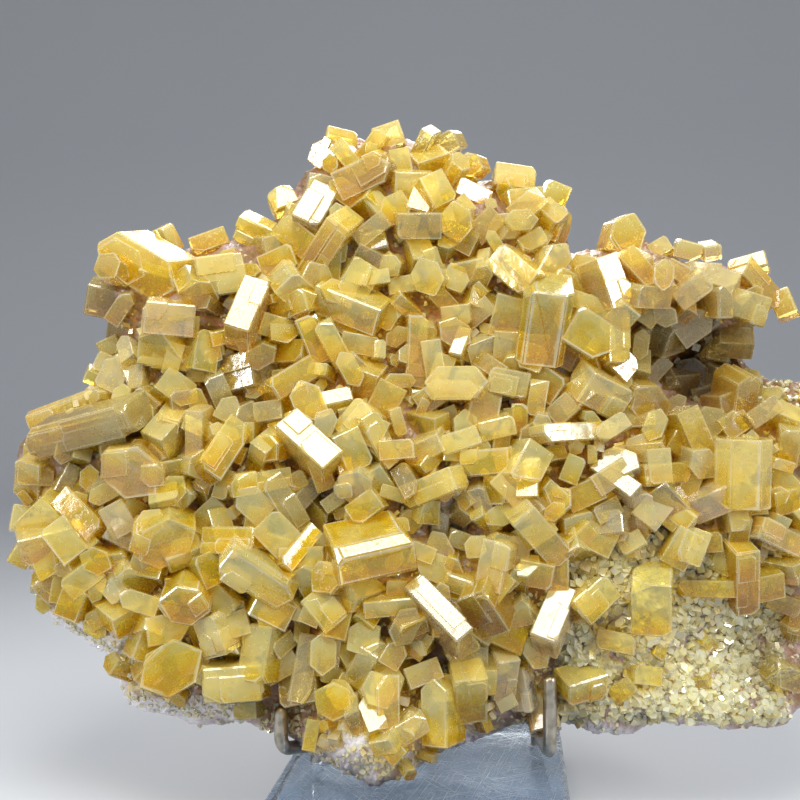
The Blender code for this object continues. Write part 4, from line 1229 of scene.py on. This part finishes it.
def barite_group(sizes):
    """What barite looks like over its surface, from each crystal's own axes and edges, with painted light in
    it: a painted highlight on the bevelled edges, and paler tops and shaded amber roots from the look
    attribute.
    """
    colour, number = "NodeSocketColor", "NodeSocketFloat"
    group, given, result = new_group(
        "Barite surface",
        [
            ("Honey", colour, sizes.honey), ("Amber", colour, sizes.amber),
            ("Burnt amber", colour, sizes.shaded_amber),
            ("Straw", colour, sizes.straw), ("Smoke", colour, sizes.smoke),
            ("Milk", colour, sizes.milk), ("Pale edges", number, 0.8), ("Veils", number, 0.5),
        ],
        [("Color", colour), ("Roughness", number), ("Height", number)],
    )
    own = attribute(group, "own").outputs["Vector"]
    rim = attribute(group, "rim").outputs["Fac"]
    look = attribute(group, "look").outputs["Vector"]
    split = put(group, "ShaderNodeSeparateXYZ", {0: look})
    amber, smoky, milky = split.outputs
    clouds = noise_at(group, own, 110.0, 3.0)
    streaks = noise_at(group, own, 420.0, 3.0, stretch=(0.16, 1.0, 1.0))
    deep = sum_of(group, "ADD", amber, between(group, clouds, 0.35, 0.7, -0.15, 0.25))
    body = mix(group, between(group, deep, 0.0, 1.0), given.outputs["Honey"], given.outputs["Amber"])
    # Painted shade: shaded amber where the look's amber is deepest, down at the roots
    body = mix(group, between(group, deep, 0.95, 1.6, 0.0, 0.9), body, given.outputs["Burnt amber"])
    body = mix(group, between(group, deep, 0.3, -0.5, 0.0, 0.9), body, given.outputs["Straw"])
    zones = sum_of(group, "SINE", sum_of(group, "MULTIPLY_ADD", rim, 15.0, clouds))
    band = sum_of(group, "MULTIPLY_ADD", zones, 0.04, rim)
    band = sum_of(group, "ADD", band, between(group, clouds, 0.3, 0.7, -0.3, 0.3))
    thin = sum_of(group, "MULTIPLY", between(group, band, 0.3, 1.2), given.outputs["Pale edges"])
    body = mix(group, thin, body, given.outputs["Straw"])
    # Painted highlight along the bevelled edges
    edge_highlight = sum_of(group, "MULTIPLY", between(group, rim, 0.55, 1.05), given.outputs["Pale edges"])
    body = mix(group, edge_highlight, body, EDGE_GLEAM)
    grey = sum_of(group, "MULTIPLY", smoky, between(group, rim, 0.0, 1.3, 1.0, 0.45))
    body = mix(group, grey, body, given.outputs["Smoke"])
    cracks = between(group, streaks, 0.56, 0.74)
    veil = sum_of(group, "MULTIPLY", cracks, given.outputs["Veils"])
    milk = sum_of(group, "MULTIPLY", milky, between(group, clouds, 0.25, 0.6, 0.35, 1.0))
    pale = put(group, "ShaderNodeMath", {0: milk, 1: veil}, operation="ADD", use_clamp=True).outputs[0]
    body = mix(group, pale, body, given.outputs["Milk"])
    etched = between(group, noise_at(group, own, 480.0, 4.0, distortion=0.5), 0.58, 0.68)
    rough = sum_of(group, "MULTIPLY_ADD", between(group, clouds, 0.4, 0.7), 0.08, 0.09)
    rough = sum_of(group, "MULTIPLY_ADD", etched, 0.25, rough)
    height = sum_of(group, "MULTIPLY_ADD", streaks, 0.06, clouds)
    group.links.new(body, result.inputs["Color"])
    group.links.new(rough, result.inputs["Roughness"])
    group.links.new(height, result.inputs["Height"])
    return group


def new_material(name):
    made = bpy.data.materials.new(name)
    made.use_nodes = True
    return made, made.node_tree, made.node_tree.nodes["Principled BSDF"]


def set_shader(shader, **values):
    for name, value in values.items():
        socket = shader.inputs[name.replace("_", " ")]
        socket.default_value = (*value, 1.0) if socket.type == "RGBA" else value


def wire(tree, shader, colour_from, roughness_from):
    tree.links.new(colour_from, shader.inputs["Base Color"])
    tree.links.new(roughness_from, shader.inputs["Roughness"])


def raise_relief(tree, shader, height, strength, depth):
    """Bump of this strength, as if the height's range were this deep in metres."""
    relief = {"Height": height, "Strength": strength, "Distance": depth}
    tree.links.new(put(tree, "ShaderNodeBump", relief).outputs[0], shader.inputs["Normal"])


def let_light_through(tree, shader, tint):
    """Lamps shine straight through a clear solid, so that its shadow stays light."""
    shadow = put(tree, "ShaderNodeLightPath").outputs["Is Shadow Ray"]
    open_way = put(tree, "ShaderNodeBsdfTransparent", {"Color": tint}).outputs[0]
    both = put(tree, "ShaderNodeMixShader", {0: shadow, 1: shader.outputs[0], 2: open_way}).outputs[0]
    tree.links.new(both, tree.nodes["Material Output"].inputs["Surface"])


def barite_material(name, group, clear, pale_and_lit_edges, veils, bump):
    """Glassy translucent barite; clear is the share of light that goes straight through."""
    made, tree, shader = new_material(name)
    surface = put(tree, "ShaderNodeGroup", node_tree=group)
    surface.inputs["Pale edges"].default_value = pale_and_lit_edges
    surface.inputs["Veils"].default_value = veils
    wire(tree, shader, surface.outputs["Color"], surface.outputs["Roughness"])
    raise_relief(tree, shader, surface.outputs["Height"], bump, BARITE_RELIEF)
    set_shader(shader, IOR=BARITE_IOR, Transmission_Weight=clear)
    if clear:
        let_light_through(tree, shader, BARITE_SHADE)
    return made


def barite_surface():
    return bpy.data.node_groups.get("Barite surface") or barite_group(bpy.context.scene.barite_specimen)


def crystal_material():
    return bpy.data.materials.get("honey_barite") or barite_material(
        "honey_barite", barite_surface(), clear=0.68, pale_and_lit_edges=0.95, veils=0.2, bump=0.3
    )


def druse_material():
    """Paler and greener than the crystals, because each is so thin."""
    made = barite_material(
        "druse_barite", barite_surface(), clear=0.45, pale_and_lit_edges=0.7, veils=0.1, bump=0.1
    )
    for name, tint in DRUSE_COLOURS.items():
        made.node_tree.nodes["Group"].inputs[name].default_value = (*tint, 1.0)
    return made


def matrix_material():
    """Pinkish granular matrix with sugary white crusts, brown stains and painted brown shade in the gaps
    between crystals.
    """
    sizes = bpy.context.scene.barite_specimen
    made, tree, shader = new_material("pink_matrix")
    place = put(tree, "ShaderNodeTexCoord").outputs["Object"]
    brown = attribute(tree, "brown").outputs["Fac"]
    white = attribute(tree, "white").outputs["Fac"]
    patches = noise_at(tree, place, 55.0, 7.0)
    grains = noise_at(tree, place, 900.0, 3.0)
    cells = put(tree, "ShaderNodeTexVoronoi", {"Vector": place, "Scale": 650.0}).outputs["Color"]
    crust = sum_of(tree, "ADD", white, between(tree, patches, 0.4, 0.75, 0.0, 0.6))
    body = mix(tree, between(tree, crust, 0.1, 0.9), (*sizes.pink, 1.0), (*sizes.white, 1.0))
    shade_and_dirt = sum_of(tree, "ADD", brown, between(tree, patches, 0.25, 0.65, 0.4, -0.3))
    body = mix(tree, between(tree, shade_and_dirt, 0.3, 1.15), body, (*sizes.brown, 1.0))
    body = mix(tree, 0.16, body, cells, "OVERLAY")
    wire(tree, shader, body, between(tree, grains, 0.3, 0.7, 0.25, 0.6))
    raise_relief(tree, shader, sum_of(tree, "ADD", grains, cells), 0.7, MATRIX_RELIEF)
    set_shader(shader, Coat_Weight=0.2, Coat_Roughness=0.12)
    return made


def metal_material():
    """Satin metal with fine lengthwise rubbing and a few dull spots."""
    sizes = bpy.context.scene.barite_stand
    made = bpy.data.materials.get("satin_metal")
    if made:
        return made
    made, tree, shader = new_material("satin_metal")
    place = put(tree, "ShaderNodeTexCoord").outputs["Object"]
    rubs = noise_at(tree, place, 1400.0, 3.0, stretch=(1.0, 1.0, 0.06))
    spots = noise_at(tree, place, 260.0, 3.0)
    dark = tuple(METAL_DARK * value for value in sizes.metal)
    body = mix(tree, between(tree, spots, 0.42, 0.7), (*sizes.metal, 1.0), (*dark, 1.0))
    wire(tree, shader, body, sum_of(tree, "MULTIPLY_ADD", rubs, 0.25, 0.24))
    raise_relief(tree, shader, rubs, 0.15, METAL_RELIEF)
    set_shader(shader, Metallic=1.0)
    return made


def scratches_at(tree, place, turn, across):
    """Hair-thin straight scratches that run at one turn over the block."""
    turned = put(
        tree, "ShaderNodeMapping", {"Vector": place, "Rotation": (0.0, 0.0, math.radians(turn))}
    ).outputs[0]
    lines = noise_at(tree, turned, across, 1.0, stretch=(0.012, 1.0, 1.0))
    return between(tree, lines, 0.66, 0.7)


def acrylic_material():
    """Clear tinted acrylic, wiped and scratched in many directions."""
    sizes = bpy.context.scene.barite_stand
    made, tree, shader = new_material("scratched_acrylic")
    place = put(tree, "ShaderNodeTexCoord").outputs["Object"]
    marks = scratches_at(tree, place, *SCRATCHES[0])
    for turn, across in SCRATCHES[1:]:
        marks = sum_of(tree, "MAXIMUM", marks, scratches_at(tree, place, turn, across))
    wiped = noise_at(tree, place, 60.0, 3.0)
    pale = sum_of(tree, "MULTIPLY", marks, 0.8)
    body = mix(tree, pale, (*sizes.acrylic, 1.0), (1.0, 1.0, 1.0, 1.0))
    haze = between(tree, wiped, 0.4, 0.7, 0.02, 0.09)
    wire(tree, shader, body, sum_of(tree, "MULTIPLY_ADD", marks, 0.35, haze))
    raise_relief(tree, shader, marks, 0.4, SCRATCH_RELIEF)
    set_shader(shader, IOR=ACRYLIC_IOR, Transmission_Weight=1.0)
    let_light_through(tree, shader, sizes.acrylic)
    return made


def floor_material():
    made, tree, shader = new_material("pale_floor")
    place = put(tree, "ShaderNodeTexCoord").outputs["Object"]
    clouds = noise_at(tree, place, 1.6, 3.0)
    floor = bpy.context.scene.barite_stage.floor
    duller = tuple(FLOOR_DARK * value for value in floor)
    tree.links.new(mix(tree, clouds, (*floor, 1.0), (*duller, 1.0)), shader.inputs["Base Color"])
    set_shader(shader, Roughness=0.55)
    return made


# Operators

def surface_of(name):
    """The search tree of a made piece, back in the view's mm."""
    piece = bpy.data.objects[name]
    points = [from_row(vert.co / MM) for vert in piece.data.vertices]
    return BVHTree.FromPolygons(points, [tuple(face.vertices) for face in piece.data.polygons])


def dress(piece, slot, *nodes):
    """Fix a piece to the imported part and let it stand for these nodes."""
    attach(piece, "root")
    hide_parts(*nodes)


class AddMatrix(bpy.types.Operator):
    """Add the rough plate of matrix that carries the crystals"""

    bl_idname = "barite.add_matrix"
    bl_label = "Matrix"

    def execute(self, context):
        bm = matrix_mesh()
        brown, white = stained_and_shaded(bm)
        for vert in bm.verts:
            vert.co = to_row(vert.co)
        made = new_object("matrix", bm, matrix_material())
        for name, values in (("brown", brown), ("white", white)):
            made.data.attributes.new(name, "FLOAT", "POINT").data.foreach_set("value", values)
        dress(made, "barite", "barite_cluster")
        return {"FINISHED"}


class AddLargeCrystals(bpy.types.Operator):
    """Add the crystals that have places of their own"""

    bl_idname = "barite.add_large_crystals"
    bl_label = "Large crystals"

    def execute(self, context):
        heap = Heap()
        edge = context.scene.barite_specimen.edge_width / MM
        for row in LANDMARKS:
            add_landmark(heap, row, edge)
        dress(heap.make("large_crystals", crystal_material()), "barite", "barite_cluster")
        return {"FINISHED"}


class AddSmallCrystals(bpy.types.Operator):
    """Add small crystals between the large ones"""

    bl_idname = "barite.add_small_crystals"
    bl_label = "Small crystals"

    def execute(self, context):
        heap = Heap()
        chance = random.Random(SMALL_SEED)
        lines = rod_lines()
        surface = surface_of("matrix")
        cells = {}
        for x, z, _, width, *_ in LANDMARKS:
            cells.setdefault((x // CELL, z // CELL), []).append((x, z, LANDMARK_REACH * width))
        for spacing, shortest, longest, highest, share in SMALL_RUNS:
            count = int(share * context.scene.barite_specimen.small_count)
            for spot in small_places(surface, count, spacing, cells, chance):
                add_small(heap, spot, shortest, longest, highest, chance, lines)
        for spot in small_places(surface, SHARD_TRIES, SHARD_SPACING, cells, chance):
            add_shard(heap, spot, chance, lines)
        dress(heap.make("small_crystals", crystal_material()), "barite", "barite_cluster")
        return {"FINISHED"}


class AddDruse(bpy.types.Operator):
    """Add the fine crystals that crust the matrix"""

    bl_idname = "barite.add_druse"
    bl_label = "Druse"

    def execute(self, context):
        heap = Heap()
        shapes = druse_shapes()
        surface = surface_of("matrix")
        front_druse(heap, shapes, surface, rod_lines())
        rim_sugar(heap, shapes, surface, rod_lines())
        back_druse(heap, shapes, surface)
        for piece in shapes:
            piece.free()
        dress(heap.make("druse", druse_material()), "barite", "barite_cluster")
        return {"FINISHED"}


class AddRods(bpy.types.Operator):
    """Add the two prongs and the post that hold the specimen"""

    bl_idname = "barite.add_rods"
    bl_label = "Rods"

    def execute(self, context):
        rods = {
            "left_prong": prong_corners(LEFT_PRONG),
            "right_prong": prong_corners(RIGHT_PRONG),
            "back_post": post_corners(surface_of("matrix")),
        }
        for node, corners in rods.items():
            dress(make_rod(f"{node}_rod", corners, metal_material()), "bronzed_metal", node)
        return {"FINISHED"}


class FinishBlock(bpy.types.Operator):
    """Give the clear block its scratched acrylic"""

    bl_idname = "barite.finish_block"
    bl_label = "Clear block"

    def execute(self, context):
        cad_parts["acrylic_base"].material_slots[0].material = acrylic_material()
        return {"FINISHED"}


# Floor and wall, in metres
FLOOR_GAP = 0.0002
FLOOR_HALF = 2.6
WALL_FROM = 1.3
WALL_BEND = 0.9
WALL_HEIGHT = 2.6
BEND_STEPS = 16

# Soft light from around: how high each way points, from -1 to 1, and its strength there
SKY_HEIGHTS = (-0.9, 0.8)
SKY_STRENGTHS = (0.1, 0.6)

# Lamps: name, place in the view, aim, size in metres, setting of their power and colour
LAMPS = [
    ("key_light", FLASH_LIGHT, (0, 0, 0), 0.33, "key_power", (1.0, 1.0, 0.97)),
    ("rim_light", (60, 420, 420), (0, 0, 20), 0.4, "rim_power", (1.0, 0.99, 0.95)),
    ("left_strip", (-700, -430, 200), (0, 0, -20), 0.2, "strip_power", (1.0, 1.0, 1.0)),
    ("right_strip", (650, -430, 200), (0, 0, -20), 0.2, "strip_power", (1.0, 1.0, 1.0)),
]

# How often light is followed on, which keeps a render short
BOUNCES = {
    "max_bounces": 6,
    "diffuse_bounces": 2,
    "glossy_bounces": 3,
    "transmission_bounces": 5,
    "transparent_max_bounces": 4,
}


def floor_mesh():
    """A floor that rises in a wide bend into a wall behind the object."""
    profile = [(-FLOOR_HALF, 0.0)]
    for step in range(BEND_STEPS + 1):
        angle = math.pi / 2 * step / BEND_STEPS
        profile.append((WALL_FROM + WALL_BEND * math.sin(angle), WALL_BEND * (1 - math.cos(angle))))
    profile.append((WALL_FROM + WALL_BEND, WALL_HEIGHT))
    bm = bmesh.new()
    sides = [[bm.verts.new((x, y, z)) for y, z in profile] for x in (-FLOOR_HALF, FLOOR_HALF)]
    for index in range(len(profile) - 1):
        bm.faces.new([sides[0][index], sides[1][index], sides[1][index + 1], sides[0][index + 1]])
    return bm


def add_area_light(name, place, target, size, power, colour):
    """A soft square light at a place in the view, aimed at another."""
    light = bpy.data.lights.new(name, "AREA")
    light.size = size
    light.energy = power
    light.color = colour
    made = bpy.data.objects.new(name, light)
    made.location = to_row(place)
    aim = to_row(target) - to_row(place)
    made.rotation_euler = aim.to_track_quat("-Z", "Y").to_euler()
    bpy.context.scene.collection.objects.link(made)


def studio_world():
    """Soft light that comes mostly from above."""
    made = bpy.data.worlds.new("studio")
    made.use_nodes = True
    tree = made.node_tree
    way = put(tree, "ShaderNodeTexCoord").outputs["Generated"]
    height = put(tree, "ShaderNodeSeparateXYZ", {0: way}).outputs["Z"]
    light = between(tree, height, *SKY_HEIGHTS, *SKY_STRENGTHS)
    tree.links.new(light, tree.nodes["Background"].inputs["Strength"])
    tree.nodes["Background"].inputs["Color"].default_value = (0.95, 0.97, 1.0, 1.0)
    return made


def add_camera():
    camera = bpy.data.cameras.new("view")
    camera.sensor_width = 36.0
    camera.lens = 45.0
    camera.clip_start = 0.01
    made = bpy.data.objects.new("view", camera)
    made.location = to_row(EYE)
    made.rotation_euler = (math.pi / 2, 0.0, VIEW_TURN)
    bpy.context.scene.collection.objects.link(made)
    bpy.context.scene.camera = made


class AddStage(bpy.types.Operator):
    """Add the floor, the lights and the camera"""

    bl_idname = "barite.add_stage"
    bl_label = "Stage"

    def execute(self, context):
        scene = context.scene
        powers = scene.barite_stage
        floor = new_object("floor", floor_mesh(), floor_material())
        floor.data.shade_smooth()
        floor.location.z = -FLOOR_GAP
        for name, place, target, size, power, tint in LAMPS:
            add_area_light(name, place, target, size, getattr(powers, power), tint)
        scene.world = studio_world()
        scene.view_settings.view_transform = "Standard"
        for name, count in BOUNCES.items():
            setattr(scene.cycles, name, count)
        scene.cycles.caustics_refractive = False
        scene.cycles.caustics_reflective = False
        add_camera()
        return {"FINISHED"}


class BaritePanel(bpy.types.Panel):
    """Settings and pieces of the specimen"""

    bl_idname = "VIEW3D_PT_barite"
    bl_label = "Barite specimen"
    bl_space_type = "VIEW_3D"
    bl_region_type = "UI"
    bl_category = "Barite"

    def draw(self, context):
        layout = self.layout
        scene = context.scene
        for settings in (scene.barite_specimen, scene.barite_stand, scene.barite_stage):
            for name in settings.__annotations__:
                layout.prop(settings, name)
        for operator in OPERATORS:
            layout.operator(operator.bl_idname)


SETTINGS = {
    "barite_specimen": SpecimenSettings,
    "barite_stand": StandSettings,
    "barite_stage": StageSettings,
}
OPERATORS = (
    AddMatrix, AddLargeCrystals, AddSmallCrystals, AddDruse, AddRods, FinishBlock, AddStage,
)


def register():
    for kind in (*SETTINGS.values(), *OPERATORS, BaritePanel):
        bpy.utils.register_class(kind)
    for name, kind in SETTINGS.items():
        setattr(bpy.types.Scene, name, PointerProperty(type=kind))


def unregister():
    for name in SETTINGS:
        delattr(bpy.types.Scene, name)
    for kind in reversed((*SETTINGS.values(), *OPERATORS, BaritePanel)):
        bpy.utils.unregister_class(kind)


def main():
    register()
    bpy.ops.barite.add_matrix()
    bpy.ops.barite.add_large_crystals()
    bpy.ops.barite.add_small_crystals()
    bpy.ops.barite.add_druse()
    bpy.ops.barite.add_rods()
    bpy.ops.barite.finish_block()
    bpy.ops.barite.add_stage()


if __name__ == "__main__":
    main()
